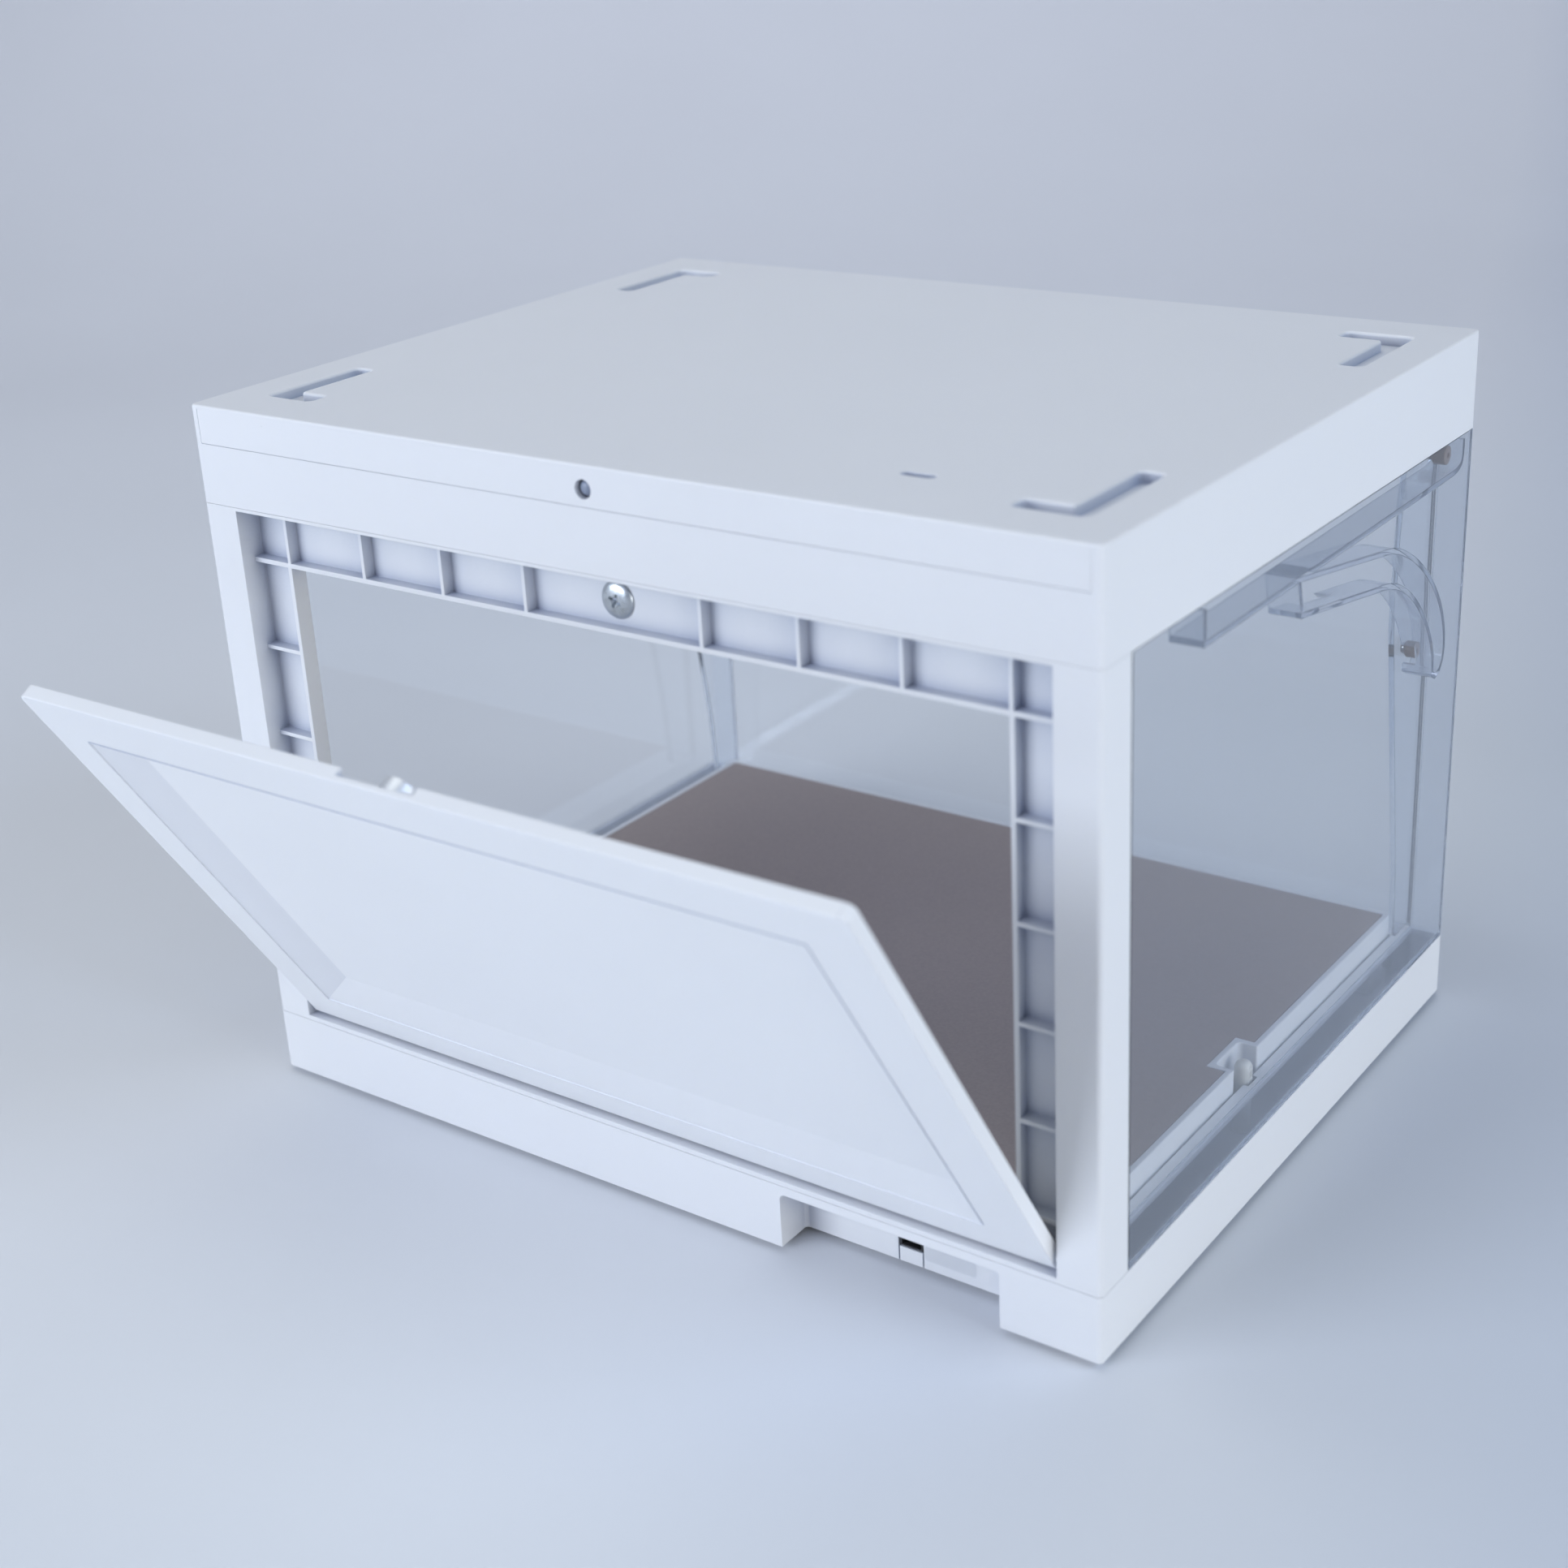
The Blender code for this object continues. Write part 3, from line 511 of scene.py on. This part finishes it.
def base_tray():
    tray = prism(rounded(rect((0, WIDTH), (0, DEPTH)), 2.0, 8), "z", (0, BASE_TOP))
    right, rear = WIDTH - TRAY_WALL, DEPTH - TRAY_WALL
    hollow = [(TRAY_WALL, TRAY_WALL), (RECESS_X[0], TRAY_WALL), (RECESS_X[0], RECESS_Y),
              (RECESS_X[1], RECESS_Y), (RECESS_X[1], TRAY_WALL),
              (right, TRAY_WALL), (right, rear), (TRAY_WALL, rear)]
    panel_x, panel_y = PANEL_SLOT
    cut(tray,
        prism(hollow, "z", (2.4, 21.9)),
        # Top opening for the platform, a little wider beside the pegs.
        box((18.3, 341.7), (17.6, 272), THROUGH_TOP),
        box((16.4, 343.6), (136.6, 144.0), THROUGH_TOP),
        box(panel_x, panel_y, THROUGH_TOP),
        box(mirror(panel_x), panel_y, THROUGH_TOP))
    # The front cut-out is rounded at its back corners and along its top edges.
    cutout = prism(rounded(rect(CUTOUT_X, (-5, CUTOUT_Y)), [0, 0, 1.5, 1.5], 8),
                   "z", (-5, CUTOUT_Z))
    combine(cutout, "INTERSECT",
            prism(rounded(rect(CUTOUT_X, (-6, CUTOUT_Z)), [0, 0, 1.2, 2.2], 6),
                  "y", (-6, CUTOUT_Y + 1)))
    cut(tray, cutout,
        box(SLOT_X, SLOT_Y, (5.7, 9.5)),
        # A slit runs down from each end of the slot.
        box((SLOT_X[0], SLOT_X[0] + SLIT_W), SLOT_Y, (-1, 6.5)),
        box((SLOT_X[1] - SLIT_W, SLOT_X[1]), SLOT_Y, (-1, 6.5)),
        # Round hole in the top at the front right corner.
        rod("z", (352.0, 8.0), 3.0, (20, 26), 24))
    for x in SEATS_X:
        for y in SEATS_Y:
            join(tray, box((x, x + SEAT), (y, y + SEAT), (2.0, PLATFORM_Z[0] - GAP)))
    for corner in CORNERS:
        join(tray, prism(l_shape(*corner, inset=0.8, steps=5), "z", (-LUG_H, 1.2)))
    soften(tray, 0.25)
    give(tray, "base_moulding", WHITE, "base_tray")


# --------------------------------------------------------- platform, mat, pegs
NOTCH_Y, NOTCH_DEPTH = (131.0, 149.6), 7.0
PEG_X, PEG_Y, PEG_R = 20.0, 140.3, 3.2
PEG_SHOULDER, PEG_DOME = 28.6, 3.4


def notched(inset):
    """The platform's outline, with a notch in each side, drawn in by inset."""
    x0, x1 = PLATFORM_X[0] + inset, PLATFORM_X[1] - inset
    y0, y1 = PLATFORM_Y[0] + inset, PLATFORM_Y[1] - inset
    front, back = NOTCH_Y[0] - inset, NOTCH_Y[1] + inset
    left, right = x0 + NOTCH_DEPTH, x1 - NOTCH_DEPTH
    return [(x0, y0), (x1, y0), (x1, front), (right, front), (right, back), (x1, back),
            (x1, y1), (x0, y1), (x0, back), (left, back), (left, front), (x0, front)]


def floor_platform():
    platform = prism(rounded(notched(0), [2.0, 2.0, 0.8] * 4), "z", PLATFORM_Z)
    cut(platform,
        prism(notched(2.2), "z", (10, 29.4)),   # hollow underside
        prism(notched(2.4), "z", (31.4, 36)))   # shallow tray for the mat
    soften(platform, 0.5, 3)
    give(platform, "platform_moulding", WHITE, "floor_platform")


def floor_mat():
    mat = prism(rounded(notched(2.5), 1.0, 3), "z", (31.5, 32.85))
    soften(mat, 0.3)
    give(mat, "mat_sheet", GRAINED["grey_mat"], "floor_mat")


def locating_peg(side):
    x, out = (PEG_X, -1) if side == "left" else (WIDTH - PEG_X, 1)
    profile = [(2.7, 0), (2.7, PEG_R)]
    for k in range(11):
        t = math.pi / 2 * k / 10
        profile.append((PEG_SHOULDER + PEG_DOME * math.sin(t),
                        PEG_R * math.cos(t) ** 0.8 if k < 10 else 0))
    peg = lathe("z", (x, PEG_Y), profile)
    # A flat on the outer side, with three short upright grooves.
    cut(peg, box(sorted((x + out * 2.7, x + out * 5)), (135, 146), (20, 34)))
    for k in (-1, 0, 1):
        groove_y = (140.0 + 1.1 * k, 140.4 + 1.1 * k)
        cut(peg, prism(rounded(rect(groove_y, (25.6, 28.4)), 0.18, 3), "x",
                       sorted((x + out * 2.45, x + out * 4))))
    polish(peg, 32)
    give(peg, "peg_" + side, GRAINED["cream_peg"], "locating_peg_" + side)


# ---------------------------------------------------------------- front frame
FRAME_Y, FRAME_SIDE_Y = 12.0, 17                # back of the face, back of the side returns
POCKET_X, POCKET_Z, POCKET_Y = (16.2, 344.2), (26.5, 228.0), 5.5
OPENING_X, OPENING_Z = (34.8, 327.0), (43.0, 208.0)
CHANNEL_Y = (4, 10.0)                           # ribbed channel round the opening
RING, RIB = 1.8, 1.5
RIB_PITCH_X, RIB_PITCH_Z = 36.9, 33.6
RIB_SHIFT_LEFT, RIB_SHIFT_RIGHT = 1.7, 0.1
SIDE_SLOT_X = (WALL, 13.4)


def between(span, ribs):
    """The spans left free in span by ribs centred on the given places."""
    edges = [span[0]] + [rib + s * RIB / 2 for rib in ribs for s in (-1, 1)] + [span[1]]
    return zip(edges[::2], edges[1::2])


def front_frame():
    inside = WIDTH - WALL
    outline = [(0, 0), (WIDTH, 0), (WIDTH, FRAME_SIDE_Y), (inside, FRAME_SIDE_Y),
               (inside, FRAME_Y), (WALL, FRAME_Y), (WALL, FRAME_SIDE_Y), (0, FRAME_SIDE_Y)]
    front = prism(rounded(outline, [CORNER_R, CORNER_R] + [0] * 6, 8), "z", FRAME_Z)
    ribs_x = [WIDTH / 2 + RIB_PITCH_X * k + (RIB_SHIFT_LEFT if k < 0 else RIB_SHIFT_RIGHT)
              for k in range(-4, 5) if k]
    middle = (OPENING_Z[0] + OPENING_Z[1]) / 2
    ribs_z = [middle + RIB_PITCH_Z * (k - 1.5) for k in range(4)]
    cut(front,
        box(POCKET_X, (-2, POCKET_Y), POCKET_Z),
        box(OPENING_X, (-2, 14), OPENING_Z))
    for cell in between(POCKET_X, ribs_x):
        cut(front,
            box(cell, CHANNEL_Y, (OPENING_Z[1] + RING, POCKET_Z[1])),
            box(cell, CHANNEL_Y, (POCKET_Z[0], OPENING_Z[0] - RING)))
    for cell in between(OPENING_Z, ribs_z):
        cut(front,
            box((POCKET_X[0], OPENING_X[0] - RING), CHANNEL_Y, cell),
            box((OPENING_X[1] + RING, POCKET_X[1]), CHANNEL_Y, cell))
    join(front, rod("y", LATCH, 4.2, (11, 19), 32))     # boss for the latch screw
    hinge_hole = (11, 17)
    cut(front,
        box(SIDE_SLOT_X, (2.5, 20), (20, 240)),
        box(mirror(SIDE_SLOT_X), (2.5, 20), (20, 240)),
        rod("x", DOOR_AXIS, 1.9, hinge_hole, 24),
        rod("x", DOOR_AXIS, 1.9, mirror(hinge_hole), 24),
        rod("y", LATCH, 1.75, (8, 22), 20))
    soften(front, 0.22)
    give(front, "frame_moulding", WHITE, "front_frame")


# Columns: y, radius; a domed head facing forwards, then the shank.
SCREW_PROFILE = [
    (7.9, 0), (7.93, 2.4), (8.1, 3.9), (8.45, 5.1), (8.9, 5.9), (9.3, 6.25), (9.6, 6.4),
    (9.75, 6.35), (9.75, 1.45), (16.0, 1.45), (17.5, 0)]
SCREW_TURN = math.radians(24)


def latch_screw():
    x, z = LATCH
    screw = lathe("y", LATCH, SCREW_PROFILE)
    arm, half = 2.5, 0.55                       # cross recess
    cut(screw,
        prism(rounded(rect((x - half, x + half), (z - arm, z + arm)), 0.3, 3), "y", (5, 9.3)),
        prism(rounded(rect((x - arm, x + arm), (z - half, z + half)), 0.3, 3), "y", (5, 9.3)),
        lathe("y", LATCH, [(7.0, 0), (7.0, 1.6), (8.1, 1.5), (9.0, 0)], 24))
    head = to_scene(x, 8, z)
    for move in (Matrix.Translation(-head), Matrix.Rotation(SCREW_TURN, 4, "Y"),
                 Matrix.Translation(head)):
        screw.data.transform(move)
    polish(screw, 35)
    give(screw, "screw_zinc", ZINC, "latch_screw")


# ------------------------------------------------------------------ drop door
DOOR_X, DOOR_Z, DOOR_T = (18.3, 342.9), (27.4, 225.3), 5.2
DOOR_OPEN = math.radians(32.0)
DOOR_EDGE_R = 3.0
DOOR_RIM = 2.0
# The front recess: its x and z spans at the rim and at the floor, and two depths.
RECESS_RIM = rect((36.5, 322.5), (46.1, 205.6))
RECESS_FLOOR = rect((57.5, 320.5), (66.4, 203.6))
RECESS_STEP, RECESS_DEPTH = 0.25, 2.8
# Columns: y, radius.
MAGNET_PROFILE = [(2.25, 0), (2.25, 5.7), (2.5, 5.9), (6.8, 5.9), (7.15, 5.75), (7.3, 5.4),
                  (7.3, 0)]


def door_section():
    """The shut door's (y, z) section. The front bottom edge is an arc; behind it
    a flat lies upright at y = DOOR_T once the door is open."""
    axis_y, axis_z = DOOR_AXIS
    cos, sin = math.cos(DOOR_OPEN), math.sin(DOOR_OPEN)
    stop = DOOR_T - axis_y
    arc_y, arc_z = DOOR_EDGE_R, DOOR_Z[0] + DOOR_EDGE_R
    turned_y = (arc_y - axis_y) * cos - (arc_z - axis_z) * sin
    end = 2 * math.pi - math.acos((stop - turned_y) / DOOR_EDGE_R) - DOOR_OPEN
    section = []
    for k in range(11):
        t = math.pi + (end - math.pi) * k / 10
        section.append((arc_y + DOOR_EDGE_R * math.cos(t), arc_z + DOOR_EDGE_R * math.sin(t)))
    section.append((DOOR_T, axis_z + ((DOOR_T - axis_y) * cos - stop) / sin))
    return section + [(DOOR_T, DOOR_Z[1]), (0, DOOR_Z[1])]


def opened(obj):
    """Turns a piece about the hinge from shut to open."""
    axis_at = to_scene(0, *DOOR_AXIS)
    axis_at.x = 0
    obj.data.transform(Matrix.Translation(axis_at) @ Matrix.Rotation(DOOR_OPEN, 4, "X")
                       @ Matrix.Translation(-axis_at))


def drop_door():
    top = DOOR_Z[1]
    door = prism(door_section(), "x", DOOR_X)
    combine(door, "INTERSECT",
            prism(rounded(rect(DOOR_X, (20, top)), [0, 0, 3.0, 3.0], 8), "y", (-2, 8)))
    levels = ((-1.0, RECESS_RIM), (RECESS_STEP, RECESS_RIM), (RECESS_DEPTH, RECESS_FLOOR))
    cut(door,
        loft([[(x, y, z) for x, z in outline] for y, outline in levels]),
        # Shallow hollow in the back, then a notch in the top edge.
        box((DOOR_X[0] + DOOR_RIM, DOOR_X[1] - DOOR_RIM), (4.2, 8), (37.0, top - DOOR_RIM)),
        box((162.0, 193.0), (2.2, 8), (top - 3.0, top + 3)))
    join(door,
         rod("x", DOOR_AXIS, 1.6, (11.5, 19.5), 24),
         rod("x", DOOR_AXIS, 1.6, (341.5, 348.5), 24))
    soften(door, 0.45, 3, 20)
    # The shallow ramps keep crisp edges.
    bm = bmesh.new()
    bm.from_mesh(door.data)
    for edge in bm.edges:
        if (len(edge.link_faces) == 2
                and math.radians(3) < edge.calc_face_angle(0) < math.radians(11)):
            edge.smooth = False
    bm.to_mesh(door.data)
    bm.free()
    opened(door)
    give(door, "door_moulding", WHITE_DOOR, "drop_door", body="drop_door")


def door_magnet():
    magnet = lathe("y", LATCH, MAGNET_PROFILE, 64)
    polish(magnet)
    opened(magnet)
    give(magnet, "magnet_disc", GRAINED["nickel_plate"], "door_magnet",
         body="drop_door")


# ------------------------------------------------------- lid and what it holds
LID_Z0 = 229.4
SOCKET_H = 3.9
PAD_X, PAD_Y, PAD_Z = (13, 13 + 34), (17, 17 + 56), (259.0, 263.0)
# Columns: y, radius; a small dome in front of a flat flange.
LENS_PROFILE = [(0.9, 0), (0.95, 0.8), (1.15, 1.5), (1.6, 2.2), (2.4, 2.7), (3.0, 2.8),
                (5.0, 2.8), (5.0, 3.1), (6.1, 3.1), (6.1, 0)]


def rolled_recess(outline, floor_z, edge=1.1):
    """A cutter for a recess whose top edge rolls over into the lid's top face.
    outline(inset) gives its (x, y) loop."""
    levels = [(floor_z, 0.0)]
    for k in range(6):
        t = math.pi / 2 * k / 5
        levels.append((HEIGHT - edge + edge * math.sin(t), edge * (1 - math.cos(t))))
    levels.append((HEIGHT + 1.0, edge))
    return loft([[(x, y, z) for x, y in outline(-grow)] for z, grow in levels])


def lid_body():
    # The walls start 3 mm low and are trimmed after softening, so the rim stays square.
    lid = prism(rounded(rect((0, WIDTH), (0, DEPTH)), CORNER_R, 8), "z", (LID_Z0 - 3.0, HEIGHT))
    inside_x, inside_back = (WALL, WIDTH - WALL), DEPTH - WALL
    cut(lid,
        box(inside_x, (WALL, inside_back), (LID_Z0 - 5, 248.6)),
        box(inside_x, (4.5, inside_back), (247, 262.5)))
    # A thickening under each socket.
    for right, rear in CORNERS:
        pad_y = (DEPTH - PAD_Y[1], DEPTH - PAD_Y[0]) if rear else PAD_Y
        join(lid, box(mirror(PAD_X) if right else PAD_X, pad_y, PAD_Z))
    soften(lid, 0.9, 4)
    # The cuts below need the plain mesh; polish() weights the normals again at the end.
    lid.modifiers.clear()
    cut(lid, box((-5, WIDTH + 5), (-5, DEPTH + 5), (LID_Z0 - 6, LID_Z0 + 0.02)))
    for corner in CORNERS:
        cut(lid, rolled_recess(lambda inset: l_shape(*corner, inset, 6), HEIGHT - SOCKET_H))

    def dimple(inset):
        """Small long recess between the legs of the front right socket."""
        return rounded(rect((273 + inset, 285 - inset), (34 + inset, 38 - inset)), 1.98 - inset)

    cut(lid,
        rolled_recess(dimple, HEIGHT - 1.5, 0.5),
        box((3.5, 356.5), (-2, 2.3), (STRIP_Z0, 263.6)),
        rod("y", SENSOR, 3.5, (0, 6), 32))
    polish(lid, 30)
    give(lid, "lid_moulding", WHITE_LID, "lid")


def front_strip():
    face = prism(rect((3.6, 356.4), (STRIP_Z0 + SEAM, 263.59)), "y", (0.02, 2.1))
    cut(face, rod("y", SENSOR, 3.2, (-2, 4), 64))
    soften(face, 0.06)
    give(face, "strip_moulding", WHITE, "front_strip")


def sensor_lens():
    lens = lathe("y", SENSOR, LENS_PROFILE, 40)
    polish(lens)
    give(lens, "lens_dome", GRAINED["dark_lens"], "sensor_lens")


# ----------------------------------------------------------------- end panels
RAIL_X, RAIL_T = (346.5, 358.6), 1.8
REAR_TRAVEL, REAR_TILT = 190.0, math.radians(85.2)
PIN_PATH_CLEAR = 0.4
# (x, y) plan of the right panel: the sheet with a return at the rear.
PANEL_PLAN = [(358, 17.3), (360, 17.3), (360, 280), (346.5, 280), (346.5, 278), (358, 278)]
# (y, z) centre lines of the three rails on the panel's inner face.
TOP_RAIL = ([(64, 226.9), (64, 216.0), (258, 216.3)]
            + bezier((258, 216.3), (268, 216.2), (271.5, 217.0), (271.6, 221.5), 8)
            + [(271.7, 226.9)])
OUTER_RAIL = ([(134.4, 202.2), (130.8, 216.1), (205, 203.7)]
              + bezier((205, 203.7), (226.1, 200.4), (263.7, 174.7), (263.7, 150), 16)
              + [(263.0, 145.6), (260.4, 142.1), (256.6, 141.0), (253.6, 142.6)])
INNER_RAIL = ([(133.9, 203.1), (203, 191.5)]
              + bezier((203, 191.5), (231.2, 187.1), (253.2, 158.5), (253.2, 146), 16)
              + [(253.6, 142.2)])


def lower_pin_at(tilt):
    """(y, z) of the lower pin as the upper one slides forwards and the door tilts."""
    y, z = LOWER_PIN[0] - UPPER_PIN[0], LOWER_PIN[1] - UPPER_PIN[1]
    cos, sin = math.cos(tilt), math.sin(tilt)
    slide = REAR_TRAVEL / REAR_TILT * tilt
    return (UPPER_PIN[0] - slide + y * cos - z * sin, UPPER_PIN[1] + y * sin + z * cos)


def end_panel(side):
    def placed(span):
        return mirror(span) if side == "left" else span

    def rail(path):
        return prism(strip(path, RAIL_T / 2), "x", placed(RAIL_X))

    plan = rounded(PANEL_PLAN, [0, 0, CORNER_R, 0, 0, 1.0], 8)
    if side == "left":
        plan = [(WIDTH - x, y) for x, y in plan][::-1]
    body = prism(plan, "z", FRAME_Z)
    foot_z = (FRAME_Z[0], FRAME_Z[0] + 2.0)
    join(body, box(placed((346.5, 358.7)), (17.3, 279.0), foot_z))
    low_rail = rail(INNER_RAIL)
    # The lower pin's sweep, started a little before the shut place.
    sweep = [lower_pin_at(REAR_TILT * (k - 0.4) / 23.6) for k in range(25)]
    cut(low_rail, prism(strip(sweep, PIN_R + PIN_PATH_CLEAR), "x", placed((345.0, 351.6))))
    join(body, rail(TOP_RAIL), rail(OUTER_RAIL), low_rail)
    soften(body, 0.25, 2, 35)
    give(body, "clear_panel_" + side, CLEAR, "end_panel_" + side)


# ------------------------------------------------------------------ rear door
FLANGE_X = (14.3, 16.5)
# (y, z) outline of the flange at each side, with its corner radii.
FLANGE = [(278.4, 27.0), (278.4, 227.0), (250.5, 227.0), (246.6, 195.0), (245.2, 160.0),
          (260.0, 57.0), (262.0, 27.0)]
FLANGE_RADII = [0, 0, 4.0, 30.0, 20.0, 30.0, 3.0]
PIN_X0 = 342.9                                  # inner end of the right-hand pins


def rear_door():
    rear = box((14.1, 345.9), (277.3, 279.5), (25.4, 227.3))
    for x in (FLANGE_X, mirror(FLANGE_X)):
        join(rear, prism(rounded(FLANGE, FLANGE_RADII), "x", x))
        through = (x[0] - 1, x[1] + 1)
        cut(rear,
            rod("x", UPPER_PIN, PIN_NECK + GAP, through, 32),
            rod("x", LOWER_PIN, PIN_NECK + GAP, through, 32))
    soften(rear, 0.25)
    give(rear, "clear_rear_door", CLEAR_DOOR, "rear_door", body="rear_door")


def guide_pin(side, level, centre, head, tip, body):
    """A neck through the flange and a wider head from x = head to x = tip."""
    profile = [(PIN_X0, 0), (PIN_X0, PIN_NECK), (head, PIN_NECK), (head, PIN_R - 0.2),
               (head + 0.2, PIN_R), (tip - 0.6, PIN_R), (tip - 0.15, PIN_R - 0.2),
               (tip, PIN_R - 0.7), (tip, 1.1), (tip - 0.5, 0.9), (tip - 0.5, 0)]
    if side == "left":
        profile = [(WIDTH - x, radius) for x, radius in profile]
    pin = lathe("x", centre, profile, 40)
    polish(pin, 35)
    give(pin, level + "_pin_" + side, GRAINED["brown_pin"], level + "_guide_pin_" + side,
         body=body)


# ------------------------------------------------------------ build the pieces
base_tray()
floor_platform()
floor_mat()
locating_peg("left")
locating_peg("right")
front_frame()
latch_screw()
drop_door()
door_magnet()
lid_body()
front_strip()
sensor_lens()
end_panel("left")
end_panel("right")
rear_door()
for side in ("left", "right"):
    guide_pin(side, "upper", UPPER_PIN, head=349.4, tip=354.2, body="rear_carriage")
    guide_pin(side, "lower", LOWER_PIN, head=346.4, tip=350.4, body="rear_door")

# Frame pieces kept as they are, with a finish.
KEPT = {
    "sensor_board": GRAINED["circuit_board"],
    "led_bar": GRAINED["light_board"],
    "led_diffuser": GRAINED["frosted_cover"],
    "power_cable": GRAINED["cable_sheath"],
    "led_lead": GRAINED["cable_sheath"],
    "power_socket": GRAINED["black_socket"],
    "blank_sticker": FILM,
}
for name, material in KEPT.items():
    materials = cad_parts[name].data.materials
    materials.clear()
    materials.append(material)

# ---------------------------------------------------- backdrop (scene metres)
SWEEP_START, SWEEP_R = 1.2, 1.6
SWEEP_FRONT, SWEEP_TOP = -6.0, 6.0
SWEEP_AWAY = Vector((-0.61, 0.79, 0)).normalized()


def backdrop_paper():
    """Pale paper, with painted shade: darker and cooler towards the right."""
    shader = Shader("backdrop_paper")
    tone = shader.ramp(shader.noise(scale=3.0),
                       [(0.3, (0.78, 0.795, 0.82)), (0.7, (0.80, 0.815, 0.84))])
    where = shader.add("SeparateXYZ", {0: shader.vector})
    # Painted shade: the paper darkens and cools towards the right, where less light falls.
    side = shader.math("MULTIPLY_ADD", where["Y"], 0.3, where["X"])
    painted_falloff = shader.ramp(side, [(0.16, 1.0), (0.30, (0.85, 0.88, 0.93))])
    grain = shader.noise(scale=900.0, detail=3.0)
    shader.feed(shader.bsdf, {
        "Base Color": shader.multiply(tone, painted_falloff),
        "Normal": shader.bump(grain, distance=0.0001, strength=0.2),
        "Roughness": 0.85,
        "Specular IOR Level": 0.2,
    })
    return shader.material


def backdrop():
    """A pale seamless sweep: floor running up into a wall behind."""
    profile = [(SWEEP_FRONT, 0.0), (SWEEP_START, 0.0)]
    for k in range(1, 17):
        t = math.pi / 2 * k / 16
        profile.append((SWEEP_START + SWEEP_R * math.sin(t), SWEEP_R * (1 - math.cos(t))))
    profile.append((SWEEP_START + SWEEP_R, SWEEP_TOP))
    sideways = Vector((SWEEP_AWAY.y, -SWEEP_AWAY.x, 0))
    bm = bmesh.new()
    rows = []
    for distance, height in profile:
        # The floor lies level with the feet of the lugs.
        rise = Vector((0, 0, height - LUG_H / 1000))
        rows.append([bm.verts.new(SWEEP_AWAY * distance + sideways * w + rise)
                     for w in (-7.0, -3.0, 0.0, 3.0, 7.0)])
    for near, far in zip(rows, rows[1:]):
        for k in range(4):
            bm.faces.new((near[k], near[k + 1], far[k + 1], far[k]))
    obj = to_object(bm, "backdrop")
    obj.data.materials.append(backdrop_paper())
    obj.data.shade_smooth()
    if any(poly.normal.z < -0.5 for poly in obj.data.polygons):
        obj.data.flip_normals()


backdrop()

# --------------------------------------------------------------------- lights
# Name, place, target, size (m), power (W), colour.
LIGHTS = [
    ("key_front", (-1.05, -2.1, 0.75), (0, 0, 0.1), (1.6, 0.9), 34.0, (0.785, 0.87, 1.0)),
    ("key_high", (-0.2, -1.9, 1.7), (0, 0, 0.1), (1.6, 1.0), 7.0, (0.62, 0.68, 1.0)),
    ("side_low", (2.2, -0.3, 0.33), (0, 0, 0.16), (1.8, 0.6), 20.2, (0.90, 0.91, 0.89)),
    ("side_high", (2.0, 0.3, 1.5), (0, 0, 0.1), (1.5, 1.0), 18.0, (0.56, 0.72, 1.0)),
    ("top_soft", (-0.2, -0.2, 2.6), (0, 0, 0), (2.2, 2.2), 20.8, (0.97, 1.0, 0.94)),
    ("backdrop_wash", (-0.9, 1.3, 2.0), (-1.5, 2.2, 0.0), (2.2, 1.0), 12.6, (0.77, 0.80, 1.0)),
]
for name, place, target, size, power, color in LIGHTS:
    data = bpy.data.lights.new(name, "AREA")
    data.shape = "RECTANGLE"
    data.size, data.size_y = size
    data.energy = power
    data.color = color
    light = bpy.data.objects.new(name, data)
    light.location = place
    light.rotation_euler = (Vector(target) - Vector(place)).to_track_quat("-Z", "Y").to_euler()
    bpy.context.scene.collection.objects.link(light)


def studio_world():
    """A pale blue surround, dim as fill light but bright in reflections."""
    world = bpy.data.worlds.new("studio")
    world.use_nodes = True
    nodes, links = world.node_tree.nodes, world.node_tree.links
    background = nodes["Background"]
    background.inputs["Color"].default_value = (0.72, 0.82, 1.0, 1)
    ray = nodes.new("ShaderNodeLightPath")
    level = nodes.new("ShaderNodeMapRange")
    level.inputs["To Min"].default_value = 0.50
    level.inputs["To Max"].default_value = 0.012
    links.new(ray.outputs["Is Diffuse Ray"], level.inputs["Value"])
    links.new(level.outputs["Result"], background.inputs["Strength"])
    bpy.context.scene.world = world


studio_world()

# --------------------------------------------------------------------- camera
CAMERA_AT = (642.40, -524.44, 456.47)
YAW, PITCH, ROLL = (math.radians(angle) for angle in (-36.164, 22.533, -2.914))


def camera():
    data = bpy.data.cameras.new("camera")
    data.sensor_width = 36.0
    data.lens = 53.537329
    data.shift_x = -0.01395445
    data.shift_y = -0.02374224
    data.clip_start = 0.05
    data.clip_end = 50
    data.dof.use_dof = True
    data.dof.focus_distance = 0.83
    data.dof.aperture_fstop = 8.0
    look = Vector((math.sin(YAW) * math.cos(PITCH), math.cos(YAW) * math.cos(PITCH),
                   -math.sin(PITCH)))
    level_right = Vector((math.cos(YAW), -math.sin(YAW), 0))
    level_up = level_right.cross(look)
    right = math.cos(ROLL) * level_right + math.sin(ROLL) * level_up
    up = -math.sin(ROLL) * level_right + math.cos(ROLL) * level_up
    # Columns: right, up, backwards, place.
    columns = (right, up, -look, to_scene(*CAMERA_AT))
    obj = bpy.data.objects.new("camera", data)
    obj.matrix_world = Matrix((*zip(*columns), (0, 0, 0, 1)))
    bpy.context.scene.collection.objects.link(obj)
    bpy.context.scene.camera = obj


camera()
bpy.context.scene.view_settings.view_transform = "Standard"
bpy.context.scene.view_settings.look = "None"
